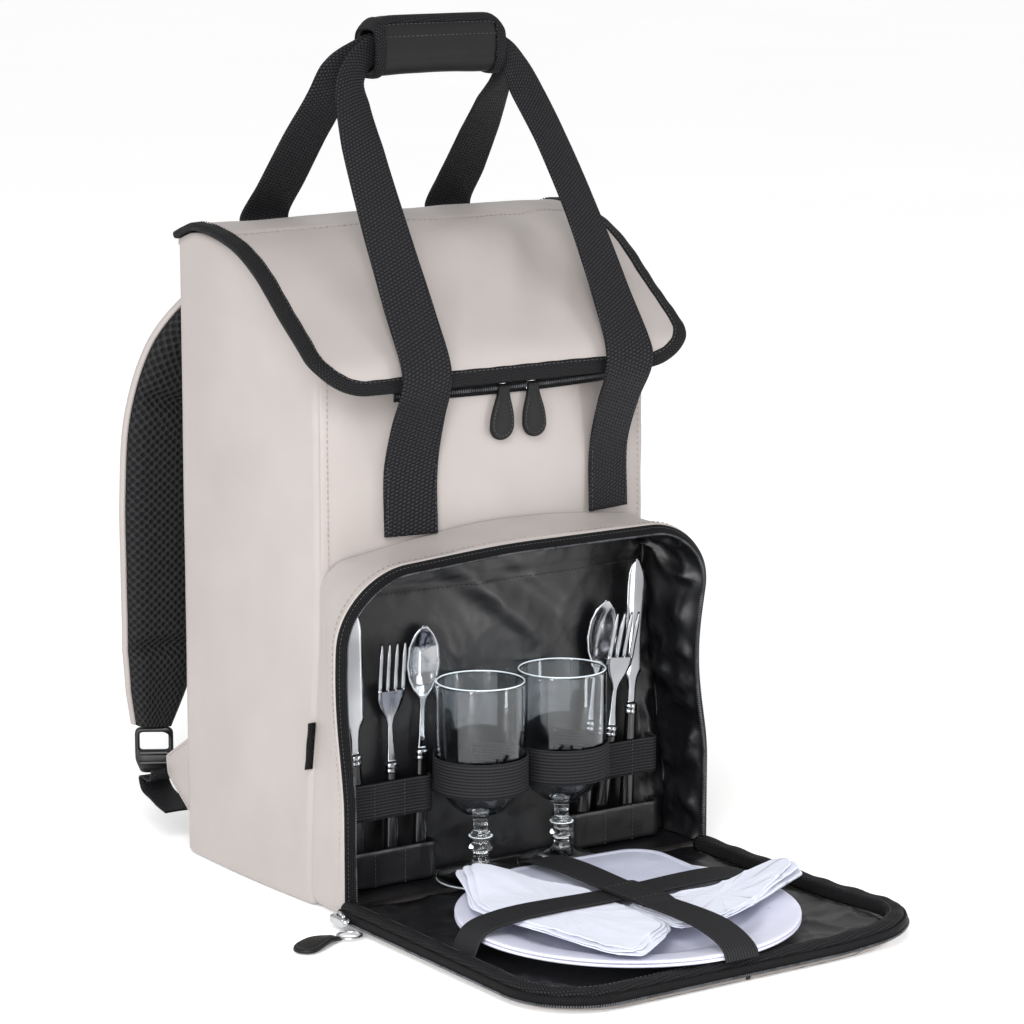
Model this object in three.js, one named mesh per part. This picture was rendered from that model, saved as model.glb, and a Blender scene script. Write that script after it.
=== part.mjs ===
// Picnic cooler backpack, standing open with its outfit strapped in.
// Millimetres, +Z up, front towards -Y. The origin is the centre of the body's base, on the floor.
import * as THREE from "three";

// Body
const bodyWidth = 303;
const bodyBackWidth = 309;
const bodyDepth = 171;
const bodyWall = 5;
const frontTopWidth = 272;
const frontTopLevel = 240;
const frontLean = 12;
const frontBulgeLow = 3;
const frontBulgeHigh = 21;
const sideSwell = 2;
const backCornerRadius = 9;
const frontCornerRadius = 8;
const backPanelThickness = 7;
const backPanelMargin = 12;

// Lid
const lidTopHeight = 457;
const lidFrontHeight = 353;
const lidOverhang = 2;
const lidThickness = 4;
const lidArch = 20;
const lidCornerRadius = 42;
const bindingWidth = 10;
const bindingThickness = 6;
const lidTapeWidth = 8;
const lidTapeLength = 190;
const lidPullLength = 39;
const lidPullWidth = 19;
const lidPullSpacing = 24;
const lidPullSpread = 0.05;
const leatherThickness = 2.4;

// Front compartment
const pocketWidth = 306;
const pocketHeight = 247;
const pocketReach = 44;
const pocketCorner = 52;
const pocketRootCorner = 20;
const pocketFloorCorner = 12;
const gussetThickness = 3;
const pocketFloorThickness = 10;
const liningThickness = 1.5;
const liningGap = 0.9;
const zipTapeWidth = 12;
const zipTapeThickness = 2.4;
const leftSwell = 6;
const rightDent = 8;
const topSag = 7;
const pocketRootHeight = 256;
const rootCrown = 15;

// Flap, laid open on the floor
const flapLength = 250;
const flapWidth = 309;
const flapShift = -3;
const flapCorner = 50;
const flapPanelThickness = 8;
const flapRimWidth = 13;
const flapRimHeight = 11.5;
const flapRimLift = 4;
const flapTapeHeight = 7;
const flapTapeDrop = 1;

// Outfit
const plateDiameter = 230;
const plateHeight = 11;
const plateWall = 2.2;
const plateShift = -17;
const boardWidth = 130;
const boardDepth = 142;
const boardThickness = 2.4;
const boardCorner = 24;
const napkinThickness = 3.6;
const plateBackGap = 23;
const boardTurn = -0.05;
const boardOffset = [27, 42];
const strapOverrun = 10;
const strapRimOverrun = 3;
const strapWideShift = [0, 10];
const strapLongShift = [5, 0];
const elasticWidth = 27;
const elasticThickness = 1.5;
const gobletHeight = 140;
const gobletRadius = 31;
const gobletWall = 1.6;
const gobletSpacing = 68;
const gobletShift = -7;
const cutleryY = -101;
const cutleryLift = 6;
const cutleryJoint = { knife: 112, fork: 98, spoon: 104 };
const knifeBladeLength = 104;
const knifeWidth = 15;
const forkHeadLength = 84;
const forkWidth = 22;
const spoonHeadLength = 86;
const spoonWidth = 27;
const spoonDip = 5;
const knifeWallGap = 17.3;
const steelThickness = 2;
const handleWidth = 11;
const handleThickness = 8;
const handleTaper = 0.72;
const handleAtBand = 0.88;
const cutleryBandHeight = 26;
const cutleryBandZ = 73;
const gobletBandHeight = 25;
const gobletBandZ = 89;
const gobletBandTurn = 2.27;
const gobletBandFoot = 15;
const sleeveHeight = 26;

// Carry handles
const webbingWidth = 40;
const webbingThickness = 2.4;
const gripWidth = 107;
const gripHeight = 42;
const gripThickness = 28;
const gripTop = 598;
const gripShift = 1;
const frontHandleShift = 11;
const frontHandleHalfSpan = 84;
const backHandleHalfSpan = 78;
const backHandleShift = -3;
const handleSway = 6;
const gripY = -4;
const gripFold = 0.5;
const gripInset = 2;
const gripMouthHeight = 35;
const gripMouthDepth = 17;
const handleStep = 2.2;
const handleFootGap = 1;
const handleFootShare = 0.8;

// Shoulder straps
const padHalfWidth = 34;
const padThickness = 13;
const padSkin = 2.2;
const padTop = 408;
const padBottom = 80;
const padStandOff = 62;
const padHem = 3;
const strapWebbingWidth = 25;
const buckleWidth = 28;
const buckleHeight = 34;
const buckleBar = 3.5;
const buckleGap = 2.2;
const buckleThickness = 5;
const buckleTurn = 0.55;
const anchorLength = 58;
const anchorTop = 84;
const anchorTip = 56;
const anchorTipHeight = 14;
const anchorReach = 36;
const anchorThickness = 3;
const anchorInset = 6.5;
const tailEnd = 26;
const tailLength = 46;
const tailSpread = 5;

// Pocket slider and side label
const sliderWidth = 8;
const sliderLength = 21;
const sliderHeight = 7;
const ringRadius = 8;
const ringWire = 1.1;
const pocketPullLength = 38;
const pullTurn = 0.28;
const labelTop = 127;
const labelHeight = 32;
const labelReach = 6;
const labelThickness = 1.6;

// Clearances
const seat = 0.3;
const softGap = 1.2;

const halfWidth = bodyWidth / 2;
const halfBack = bodyBackWidth / 2;
const backY = bodyDepth / 2;
const pocketHalf = pocketWidth / 2;
const rimY = -(backY + pocketReach);
const flapBack = rimY - zipTapeThickness - 2 * seat;

const model = new THREE.Group();
model.name = "picnic_cooler_backpack";

const finishes = {
  leatherette: new THREE.MeshStandardMaterial({ color: 0xd6ccc8, roughness: 0.55, metalness: 0 }),
  mesh: new THREE.MeshStandardMaterial({ color: 0x1c1c1e, roughness: 0.95, metalness: 0 }),
  binding: new THREE.MeshStandardMaterial({ color: 0x161617, roughness: 0.85, metalness: 0 }),
  webbing: new THREE.MeshStandardMaterial({ color: 0x1a1a1b, roughness: 0.8, metalness: 0 }),
  zipTape: new THREE.MeshStandardMaterial({ color: 0x202022, roughness: 0.7, metalness: 0 }),
  lining: new THREE.MeshStandardMaterial({ color: 0x18181a, roughness: 0.45, metalness: 0 }),
  leather: new THREE.MeshStandardMaterial({ color: 0x151515, roughness: 0.6, metalness: 0 }),
  elastic: new THREE.MeshStandardMaterial({ color: 0x1b1b1b, roughness: 0.9, metalness: 0 }),
  steel: new THREE.MeshStandardMaterial({ color: 0xc8c9cb, roughness: 0.2, metalness: 1 }),
  handle: new THREE.MeshStandardMaterial({ color: 0x0c0c0d, roughness: 0.2, metalness: 0 }),
  clear: new THREE.MeshStandardMaterial({ color: 0xe8edf0, roughness: 0.05, metalness: 0 }),
  plate: new THREE.MeshStandardMaterial({ color: 0xe4e5f0, roughness: 0.3, metalness: 0 }),
  board: new THREE.MeshStandardMaterial({ color: 0xcdd0df, roughness: 0.4, metalness: 0 }),
  cotton: new THREE.MeshStandardMaterial({ color: 0xf3f3f4, roughness: 0.95, metalness: 0 }),
  buckle: new THREE.MeshStandardMaterial({ color: 0x121213, roughness: 0.4, metalness: 0 }),
  nickel: new THREE.MeshStandardMaterial({ color: 0xb9bbbe, roughness: 0.3, metalness: 1 }),
};

function addPiece(name, geometry, finish) {
  const mesh = new THREE.Mesh(geometry, finishes[finish]);
  mesh.name = name;
  model.add(mesh);
  return mesh;
}

function mix(from, to, share) {
  return from + (to - from) * share;
}

function smooth(share) {
  const s = Math.min(1, Math.max(0, share));
  return s * s * (3 - 2 * s);
}

function bell(distance, reach) {
  const s = Math.min(1, Math.abs(distance) / reach);
  return (1 - s * s) ** 2;
}

// Closed solid between two layers of grid points; the along and across edges are joined
// where the grid is open, and rows that shrink to one point are closed as a fan.
function layeredSolid({ across, along, closed = false, point }) {
  const columns = closed ? across : across + 1;
  const layerSize = columns * (along + 1);
  const corners = [];
  for (const layer of [0, 1]) {
    for (let j = 0; j <= along; j += 1) {
      for (let i = 0; i < columns; i += 1) {
        corners.push(new THREE.Vector3(...point(i / across, j / along, layer)));
      }
    }
  }
  const at = (layer, i, j) => layer * layerSize + j * columns + (i % columns);
  const faces = [];
  const addQuad = (a, b, c, d) => faces.push([a, b, c], [a, c, d]);
  for (let j = 0; j < along; j += 1) {
    for (let i = 0; i < across; i += 1) {
      addQuad(at(0, i, j), at(0, i + 1, j), at(0, i + 1, j + 1), at(0, i, j + 1));
      addQuad(at(1, i, j), at(1, i, j + 1), at(1, i + 1, j + 1), at(1, i + 1, j));
    }
  }
  for (let i = 0; i < across; i += 1) {
    addQuad(at(1, i, 0), at(1, i + 1, 0), at(0, i + 1, 0), at(0, i, 0));
    addQuad(at(0, i, along), at(0, i + 1, along), at(1, i + 1, along), at(1, i, along));
  }
  if (!closed) {
    for (let j = 0; j < along; j += 1) {
      addQuad(at(0, 0, j), at(0, 0, j + 1), at(1, 0, j + 1), at(1, 0, j));
      addQuad(at(1, across, j), at(1, across, j + 1), at(0, across, j + 1), at(0, across, j));
    }
  }
  return closedGeometry(corners, faces);
}

function closedGeometry(corners, faces) {
  const tooClose = 1e-3;
  const kept = faces.filter(([a, b, c]) =>
    corners[a].distanceTo(corners[b]) > tooClose &&
    corners[b].distanceTo(corners[c]) > tooClose &&
    corners[c].distanceTo(corners[a]) > tooClose);
  let volume = 0;
  for (const [a, b, c] of kept) {
    volume += corners[a].dot(new THREE.Vector3().crossVectors(corners[b], corners[c]));
  }
  const geometry = new THREE.BufferGeometry();
  geometry.setFromPoints(corners);
  geometry.setIndex(kept.flatMap((face) => (volume < 0 ? [face[0], face[2], face[1]] : face)));
  geometry.computeVertexNormals();
  return geometry;
}

// Sheet of even thickness below a surface
function sheetPoint(surface, thickness) {
  const step = 0.01;
  return (u, v, layer) => {
    const here = new THREE.Vector3(...surface(u, v));
    const alongU = new THREE.Vector3(...surface(Math.min(1, u + step), v))
      .sub(new THREE.Vector3(...surface(Math.max(0, u - step), v)));
    const alongV = new THREE.Vector3(...surface(u, Math.min(1, v + step)))
      .sub(new THREE.Vector3(...surface(u, Math.max(0, v - step))));
    const normal = alongU.cross(alongV).normalize();
    return here.addScaledVector(normal, layer ? -thickness : 0).toArray();
  };
}

// Flat band along stations, each with a centre, a width and the direction of its width.
// Where a station names no direction, the band lies square to the back of the body.
function bandSolid({ stations, thickness, offset = 0, across = 1, steps = stations.length - 1 }) {
  const centres = new THREE.CatmullRomCurve3(
    stations.map((station) => new THREE.Vector3(...station.centre)),
    false,
    "centripetal",
  );
  const last = stations.length - 1;
  const point = (u, v, layer) => {
    const low = Math.min(last - 1, Math.floor(v * last));
    const share = v * last - low;
    const tangent = centres.getTangent(v);
    const wide = new THREE.Vector3();
    if (stations[low].wide) {
      wide.set(...stations[low].wide).lerp(new THREE.Vector3(...stations[low + 1].wide), share);
    } else {
      wide.crossVectors(tangent, new THREE.Vector3(0, 1, 0));
    }
    wide.normalize();
    const width = mix(stations[low].width, stations[low + 1].width, share);
    const normal = new THREE.Vector3().crossVectors(tangent, wide).normalize();
    return centres.getPoint(v)
      .addScaledVector(wide, (u - 0.5) * width)
      .addScaledVector(normal, offset + (layer - 0.5) * thickness)
      .toArray();
  };
  return layeredSolid({ across, along: steps, point });
}

// Outline in the XZ plane, turned into a plate of even thickness that faces -Y.
function uprightPlate(shape, thickness) {
  return levelPlate(shape, thickness).rotateX(Math.PI / 2);
}

// Outline in the XY plane, turned into a level plate of even thickness
function levelPlate(shape, thickness) {
  return new THREE.ExtrudeGeometry(shape, { depth: thickness, bevelEnabled: false, curveSegments: 5 });
}

// Body: its plan narrows and leans back towards the top of the front
const frontRise = (z) => smooth(z / frontTopLevel);
const frontHalf = (z) => mix(bodyWidth, frontTopWidth, frontRise(z)) / 2;
const frontCornerY = (z) => -backY + frontLean * frontRise(z);
const frontBulge = (z) => mix(frontBulgeLow, frontBulgeHigh, frontRise(z));

function frontY(x, z) {
  const share = Math.min(1, Math.abs(x) / frontHalf(z));
  return frontCornerY(z) - frontBulge(z) * (1 - share * share);
}

// Lid profile from the back edge to the front edge: columns are the place as a share of
// half the body's depth, the height as a share of the lid's drop, and how far the sides
// hang below the middle as a share of the arch.
const lidRows = [
  { depth: 1.0, rise: 0.94, hang: 0.16 },
  { depth: 0.7, rise: 0.99, hang: 0.02 },
  { depth: 0.08, rise: 1.0, hang: 0.5 },
  { depth: -0.3, rise: 0.93, hang: 0.95 },
  { depth: -0.7, rise: 0.68, hang: 1.0 },
  { depth: -1.04, rise: 0.38, hang: 0.5 },
  { depth: -1.2, rise: 0.2, hang: 0.2 },
  { depth: -1.25, rise: 0.0, hang: 0.0 },
];
const lidProfile = new THREE.CatmullRomCurve3(lidRows.map((row) => new THREE.Vector3(
  row.hang * lidArch,
  row.depth * backY,
  mix(lidFrontHeight, lidTopHeight, row.rise),
)), false, "centripetal");
const lidSteps = 80;
const lidPlaces = Array.from({ length: lidSteps + 1 }, (_, i) => lidProfile.getPoint(i / lidSteps));
const lidLengths = [0];
for (let i = 1; i <= lidSteps; i += 1) {
  const run = Math.hypot(lidPlaces[i].y - lidPlaces[i - 1].y, lidPlaces[i].z - lidPlaces[i - 1].z);
  lidLengths.push(lidLengths[i - 1] + run);
}
const lidLength = lidLengths[lidSteps];
const lidHalf = halfBack + lidOverhang;
const sideHang = (x) => Math.min(1, Math.abs(x) / lidHalf) ** 2.4;
const bindingRise = (bindingThickness - lidThickness) / 2;

// Place on the lid's middle line at a length from the back edge; x holds the hang
function lidAt(length) {
  const reach = Math.min(lidLength, Math.max(0, length));
  let i = 1;
  while (i < lidSteps && lidLengths[i] < reach) i += 1;
  const share = (reach - lidLengths[i - 1]) / (lidLengths[i] - lidLengths[i - 1]);
  return lidPlaces[i - 1].clone().lerp(lidPlaces[i], share);
}

// Top of the body's wall: the lower side of the lid and its binding, less a gap
function wallTop(x, y) {
  const drop = lidThickness + bindingRise + softGap;
  let before = null;
  for (let i = 0; i <= lidSteps; i += 1) {
    const length = (i / lidSteps) * lidLength;
    const [low, high] = [lidAt(length - 1), lidAt(length + 1)];
    const fallLow = low.z - low.x * sideHang(x);
    const fallHigh = high.z - high.x * sideHang(x);
    const inward = new THREE.Vector3(0, fallLow - fallHigh, high.y - low.y).normalize();
    const here = lidAt(length);
    const place = new THREE.Vector3(0, here.y, here.z - here.x * sideHang(x)).addScaledVector(inward, drop);
    if (before && place.y <= y) {
      const share = (before.y - y) / (before.y - place.y);
      return mix(before.z, place.z, Math.max(0, share));
    }
    before = place;
  }
  return lidFrontHeight;
}

// Plan of the body at a height, drawn in by an inset: columns are the corner's side,
// end and radius, and each corner is a short arc.
const arcSteps = 2;
const frontSteps = 8;
const sideSteps = 3;

function bodyPlan(z, inset) {
  const half = halfBack - inset;
  const narrow = frontHalf(z) - inset;
  const back = backY - inset;
  const front = frontCornerY(z) + inset;
  const points = [];
  const bulge = frontBulge(z);
  for (let i = 1; i < frontSteps; i += 1) {
    const share = mix(-1, 1, i / frontSteps);
    points.push([share * narrow, front - bulge * (1 - share * share)]);
  }
  points.push([narrow - frontCornerRadius * 0.35, front + 0.2], [narrow, front + frontCornerRadius]);
  for (let i = 1; i < sideSteps; i += 1) {
    const share = i / sideSteps;
    const swell = sideSwell * Math.sin(Math.PI * share);
    points.push([mix(narrow, half, share) + swell, mix(front, back, share)]);
  }
  for (let i = 0; i <= arcSteps; i += 1) {
    const angle = (i / arcSteps) * Math.PI / 2;
    points.push([
      half - backCornerRadius * (1 - Math.cos(angle)),
      back - backCornerRadius * (1 - Math.sin(angle)),
    ]);
  }
  points.push([0, back]);
  const mirrored = points.slice(frontSteps - 1, -1).map(([x, y]) => [-x, y]).reverse();
  return [...points, ...mirrored];
}

function addBody() {
  const planCount = bodyPlan(0, 0).length;
  const wallRows = 9;
  const floorRows = 1;
  const rows = wallRows + floorRows;
  const point = (u, v, layer) => {
    const row = Math.round(v * rows);
    const column = Math.round(u * planCount) % planCount;
    const inset = layer ? bodyWall : 0;
    const base = layer ? bodyWall : 0;
    if (row < floorRows) return [0, 0, base];
    const climb = (row - floorRows) / wallRows;
    const [topX, topY] = bodyPlan(wallTop(0, 0), 0)[column];
    const z = mix(base, wallTop(topX, topY), climb);
    const [x, y] = bodyPlan(z, inset)[column];
    return [x, y, z];
  };
  const shell = layeredSolid({ across: planCount, along: rows, closed: true, point });
  addPiece("body_shell", shell, "leatherette");
}

// Padded back panel, flat against the back of the body
function addBackPanel() {
  const halfPanel = halfBack - backPanelMargin - backCornerRadius * 0.5;
  const low = backPanelMargin;
  const high = wallTop(0, backY) - backPanelMargin;
  const places = [0, 0.04, 0.35, 0.65, 0.96, 1];
  const last = places.length - 1;
  const point = (u, v, layer) => {
    const [i, j] = [Math.round(u * last), Math.round(v * last)];
    const atEdge = i === 0 || j === 0 || i === last || j === last;
    const rise = atEdge ? backPanelThickness * 0.45 : backPanelThickness;
    const y = backY + seat + (layer ? 0 : rise);
    return [mix(-halfPanel, halfPanel, places[i]), y, mix(low, high, places[j])];
  };
  addPiece("back_panel", layeredSolid({ across: last, along: last, point }), "mesh");
}

// Half width of the lid at a length from its back edge: rounded at the front corners
function lidReach(length, inset) {
  const toFront = Math.max(0, lidLength - inset - length);
  const radius = Math.max(1, lidCornerRadius - inset);
  const drawn = radius - Math.sqrt(Math.max(0, radius ** 2 - Math.max(0, radius - toFront) ** 2));
  return lidHalf - inset - drawn;
}

function lidSurface(share, length, across) {
  const place = lidAt(length);
  const x = across * share;
  return [x, place.y, place.z - place.x * sideHang(x)];
}

function addLid() {
  const inset = bindingWidth + 2 * seat;
  const along = 16;
  const surface = (u, v) => {
    const spread = 1 - (1 - v) ** 1.25;
    const length = mix(0, lidLength - inset, spread);
    return lidSurface(mix(-1, 1, u), length, lidReach(length, inset));
  };
  const point = sheetPoint(surface, lidThickness);
  addPiece("lid", layeredSolid({ across: 14, along, point }), "leatherette");

  // Woven binding round the two sides and the front of the lid
  const turns = 6;
  const path = [];
  const sideRun = lidLength - lidCornerRadius;
  const sideSteps = 7;
  const middle = bindingWidth / 2;
  const arm = lidCornerRadius - middle;
  for (let i = 0; i < sideSteps; i += 1) path.push([-(lidHalf - middle), (i / sideSteps) * sideRun]);
  for (let i = 0; i <= turns; i += 1) {
    const angle = (i / turns) * Math.PI / 2;
    path.push([-(lidHalf - lidCornerRadius) - arm * Math.cos(angle), sideRun + arm * Math.sin(angle)]);
  }
  const frontRun = 5;
  for (let i = 1; i < frontRun; i += 1) {
    path.push([mix(-1, 1, i / frontRun) * (lidHalf - lidCornerRadius), sideRun + arm]);
  }
  const half = path.slice(0, sideSteps + turns + 1);
  path.push(...half.map(([x, length]) => [-x, length]).reverse());
  const onLid = ([x, length]) => lidSurface(Math.sign(x), length, Math.abs(x));
  const centres = path.map((entry) => new THREE.Vector3(...onLid(entry)));
  const bindingPoint = (u, v, layer) => {
    const i = Math.round(v * (path.length - 1));
    const before = path[Math.max(0, i - 1)];
    const after = path[Math.min(path.length - 1, i + 1)];
    const run = Math.hypot(after[0] - before[0], after[1] - before[1]);
    const outX = -(after[1] - before[1]) / run;
    const outL = (after[0] - before[0]) / run;
    const side = (0.5 - u) * bindingWidth;
    const here = [path[i][0] + outX * side, path[i][1] + outL * side];
    const place = new THREE.Vector3(...onLid([here[0], Math.min(here[1], lidLength)]));
    if (here[1] > lidLength) place.z -= here[1] - lidLength;
    const tangent = centres[Math.min(path.length - 1, i + 1)].clone().sub(centres[Math.max(0, i - 1)]);
    const outward = place.clone().sub(centres[i]);
    const normal = new THREE.Vector3().crossVectors(outward, tangent).normalize();
    const facing = Math.abs(side) > 0 ? Math.sign(side) : 1;
    normal.multiplyScalar(facing);
    const rise = layer ? -lidThickness - bindingRise : bindingRise;
    return place.addScaledVector(normal, rise).toArray();
  };
  const edge = layeredSolid({ across: 1, along: path.length - 1, point: bindingPoint });
  addPiece("lid_binding", edge, "binding");
}

// Zip tape on the front panel under the lid's edge, with two leather pulls
function addLidZip() {
  const top = lidFrontHeight - seat;
  const reach = lidTapeLength / 2;
  const tapeThickness = 1.4;
  const steps = 8;
  const point = (u, v, layer) => {
    const x = frontHandleShift + mix(-reach, reach, v);
    const z = mix(top - lidTapeWidth, top, u);
    return [x, frontY(x, z) - seat - (layer ? 0 : tapeThickness), z];
  };
  addPiece("lid_zip_tape", layeredSolid({ across: 1, along: steps, point }), "zipTape");

  for (const [name, side] of [["lid_pull_left", -1], ["lid_pull_right", 1]]) {
    const shape = pullShape(lidPullLength, lidPullWidth);
    const pull = addPiece(name, uprightPlate(shape, leatherThickness), "leather");
    const x = frontHandleShift + side * lidPullSpacing / 2;
    pull.rotation.y = side * -lidPullSpread;
    pull.position.set(x, frontY(0, top) - tapeThickness - 2 * seat, top - lidTapeWidth / 4);
  }
}

// Teardrop leather tab that hangs from the origin down -Z
function pullShape(length, width) {
  const shape = new THREE.Shape();
  const neck = width * 0.22;
  const round = width / 2;
  shape.moveTo(neck, 0);
  shape.lineTo(-neck, 0);
  shape.bezierCurveTo(-neck, -length * 0.3, -round, -length * 0.4, -round, round - length);
  shape.absarc(0, round - length, round, Math.PI, 2 * Math.PI, false);
  shape.bezierCurveTo(round, -length * 0.4, neck, -length * 0.3, neck, 0);
  return shape;
}

// Front compartment. The ring's path runs from the floor's middle up the left side, over
// the top and down the right side; every station has its place and its outward direction.
function ringPath(half, height, topCorner, floorCorner) {
  const stations = [];
  const addStation = (x, z, outX, outZ) => stations.push({ x, z, outX, outZ });
  const addRun = (from, to, out, count) => {
    for (let i = 0; i < count; i += 1) {
      const share = i / count;
      addStation(mix(from[0], to[0], share), mix(from[1], to[1], share), ...out);
    }
  };
  const addArc = (centreX, centreZ, radius, from, to, count) => {
    for (let i = 0; i < count; i += 1) {
      const angle = mix(from, to, i / count);
      addStation(
        centreX + radius * Math.cos(angle),
        centreZ + radius * Math.sin(angle),
        Math.cos(angle),
        Math.sin(angle),
      );
    }
  };
  const quarter = Math.PI / 2;
  const inner = half - floorCorner;
  const upper = half - topCorner;
  addRun([0, 0], [-inner, 0], [0, -1], 3);
  addArc(-inner, floorCorner, floorCorner, -quarter, -2 * quarter, 2);
  addRun([-half, floorCorner], [-half, height - topCorner], [-1, 0], 6);
  addArc(-upper, height - topCorner, topCorner, 2 * quarter, quarter, 4);
  addRun([-upper, height], [upper, height], [0, 1], 7);
  addArc(upper, height - topCorner, topCorner, quarter, 0, 4);
  addRun([half, height - topCorner], [half, floorCorner], [1, 0], 6);
  addArc(inner, floorCorner, floorCorner, 0, -quarter, 2);
  addRun([inner, 0], [0, 0], [0, -1], 3);
  return stations;
}

const rimPath = ringPath(pocketHalf, pocketHeight, pocketCorner, pocketFloorCorner);
const rootPath = ringPath(halfWidth, pocketRootHeight, pocketRootCorner, pocketFloorCorner);
const ringCount = rimPath.length;

// Soft set of the front: the top sags towards the left, the left side swells and the
// right side is dented
function topSagAt(x, z) {
  return x < 0 ? topSag * smooth(z / pocketHeight) * smooth(-x / pocketHalf) : 0;
}

function rimSet(x, z) {
  const side = smooth((Math.abs(x) / pocketHalf - 0.6) / 0.4);
  const swell = x < 0 ? leftSwell * bell(z - pocketHeight * 0.7, pocketHeight * 0.4) : 0;
  const dent = x > 0 ? rightDent * bell(z - pocketHeight * 0.6, pocketHeight * 0.3) : 0;
  return [-(swell + dent) * side, -topSagAt(x, z)];
}

function rootDrop(x, z) {
  const crown = rootCrown * (x / halfWidth) ** 2 * smooth(z / pocketRootHeight * 2 - 1);
  return crown + topSagAt(x, z);
}

function insetFor(station, amount, floorAmount) {
  return station.outZ < -0.5 ? floorAmount : amount;
}

// Place on the ring's wall: depth 0 is the rim, 1 the root on the body
function ringPoint(index, depth, amount, floorAmount, rootGap) {
  const i = index % ringCount;
  const rim = rimPath[i];
  const root = rootPath[i];
  const rimInset = insetFor(rim, amount, floorAmount);
  const rootInset = insetFor(root, amount, floorAmount);
  const [setX, setZ] = rimSet(rim.x, rim.z);
  const rimX = rim.x - rim.outX * rimInset + setX;
  const rimZ = rim.z - rim.outZ * rimInset + setZ;
  const narrow = frontHalf(root.z) / halfWidth;
  const rootX = root.x * narrow - root.outX * rootInset;
  const rootZ = root.z - root.outZ * rootInset - rootDrop(root.x, root.z);
  const rootY = frontY(rootX, rootZ) - rootGap;
  return [mix(rimX, rootX, depth), mix(rimY, rootY, depth), mix(rimZ, rootZ, depth)];
}

function addPocket() {
  const wallRows = 2;
  const gusset = (u, v, layer) => ringPoint(
    Math.round(u * ringCount),
    v,
    layer * gussetThickness,
    layer * pocketFloorThickness,
    softGap,
  );
  const wall = layeredSolid({ across: ringCount, along: wallRows, closed: true, point: gusset });
  addPiece("pocket_gusset", wall, "leatherette");

  // Lining: down the inner walls, then across the back wall to its middle
  const backRows = 3;
  const rows = wallRows + backRows;
  const lining = (u, v, layer) => {
    const row = Math.round(v * rows);
    const depth = Math.min(1, row / wallRows);
    const skin = liningGap + layer * liningThickness;
    const backGap = 2 * softGap + layer * liningThickness;
    const wall = ringPoint(
      Math.round(u * ringCount),
      depth,
      gussetThickness + skin,
      pocketFloorThickness + skin,
      backGap,
    );
    if (row <= wallRows) return wall;
    const shrink = 1 - (row - wallRows) / backRows;
    const x = wall[0] * shrink;
    const z = mix(pocketHeight / 2, wall[2], shrink);
    return [x, frontY(x, z) - backGap, z];
  };
  const lined = layeredSolid({ across: ringCount, along: rows, closed: true, point: lining });
  addPiece("pocket_lining", lined, "lining");

  // Zip tape round the rim, in front of the gusset's edge; along the floor it is the flap's hinge
  const tape = (u, v, layer) => {
    const hinge = pocketFloorThickness * 0.8;
    const [x, , z] = ringPoint(Math.round(u * ringCount), 0, v * zipTapeWidth, mix(seat, hinge, v), 0);
    return [x, rimY - seat - (layer ? 0 : zipTapeThickness), z];
  };
  const ring = layeredSolid({ across: ringCount, along: 1, closed: true, point: tape });
  addPiece("pocket_zip_tape", ring, "zipTape");
}

// Inner face of the compartment's back wall
const wallFace = (x, z) => frontY(x, z) - 2 * softGap - liningThickness;

// Flap: a padded panel on the floor, a raised rim round three sides, a zip tape outside it
function flapOutline(inset) {
  const half = flapWidth / 2 - inset;
  const front = flapBack - flapLength + inset;
  const radius = flapCorner - inset;
  const points = [[-half, flapBack]];
  const turns = 5;
  for (let i = 0; i <= turns; i += 1) {
    const angle = (i / turns) * Math.PI / 2;
    points.push([-half + radius * (1 - Math.cos(angle)), front + radius * (1 - Math.sin(angle))]);
  }
  for (let i = turns; i >= 0; i -= 1) {
    const angle = (i / turns) * Math.PI / 2;
    points.push([half - radius * (1 - Math.cos(angle)), front + radius * (1 - Math.sin(angle))]);
  }
  points.push([half, flapBack]);
  return points.map(([x, y]) => [x + flapShift, y]);
}

function addFlap() {
  const panelInset = flapRimWidth + seat;
  const panelShape = new THREE.Shape(flapOutline(panelInset).map(([x, y]) => new THREE.Vector2(x, y)));
  addPiece("flap_panel", levelPlate(panelShape, flapPanelThickness), "lining");

  // Rounded section of the rim: columns are the share of its width and of its height
  const rimRows = [
    { width: 0, height: 0.35 },
    { width: 0, height: 0.8 },
    { width: 0.3, height: 1 },
    { width: 0.7, height: 1 },
    { width: 1, height: 0.75 },
    { width: 1, height: 0 },
    { width: 0.3, height: 0 },
  ];
  const paths = rimRows.map((row) => flapOutline(row.width * flapRimWidth));
  const along = paths[0].length - 1;
  addPiece("flap_rim", ringSection(rimRows.length, along, (i, j) => {
    const [x, y] = paths[i][j];
    return [x, y, flapRimLift + rimRows[i].height * flapRimHeight];
  }), "binding");

  const outer = flapOutline(-seat - zipTapeThickness);
  const inner = flapOutline(-seat);
  const tape = (u, v, layer) => {
    const [x, y] = (layer ? inner : outer)[Math.round(v * along)];
    return [x, y, flapRimLift + flapTapeDrop + u * flapTapeHeight];
  };
  addPiece("flap_zip_tape", layeredSolid({ across: 1, along, point: tape }), "zipTape");
}

// Solid swept with a closed section of sides points through stations, with flat ends
function ringSection(sides, along, place) {
  const corners = [];
  for (let j = 0; j <= along; j += 1) {
    for (let i = 0; i < sides; i += 1) corners.push(new THREE.Vector3(...place(i, j)));
  }
  const at = (i, j) => j * sides + (i % sides);
  const faces = [];
  for (let j = 0; j < along; j += 1) {
    for (let i = 0; i < sides; i += 1) {
      faces.push([at(i, j), at(i + 1, j), at(i + 1, j + 1)], [at(i, j), at(i + 1, j + 1), at(i, j + 1)]);
    }
  }
  for (let i = 1; i < sides - 1; i += 1) {
    faces.push([at(0, 0), at(i + 1, 0), at(i, 0)], [at(0, along), at(i, along), at(i + 1, along)]);
  }
  return closedGeometry(corners, faces);
}

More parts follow.
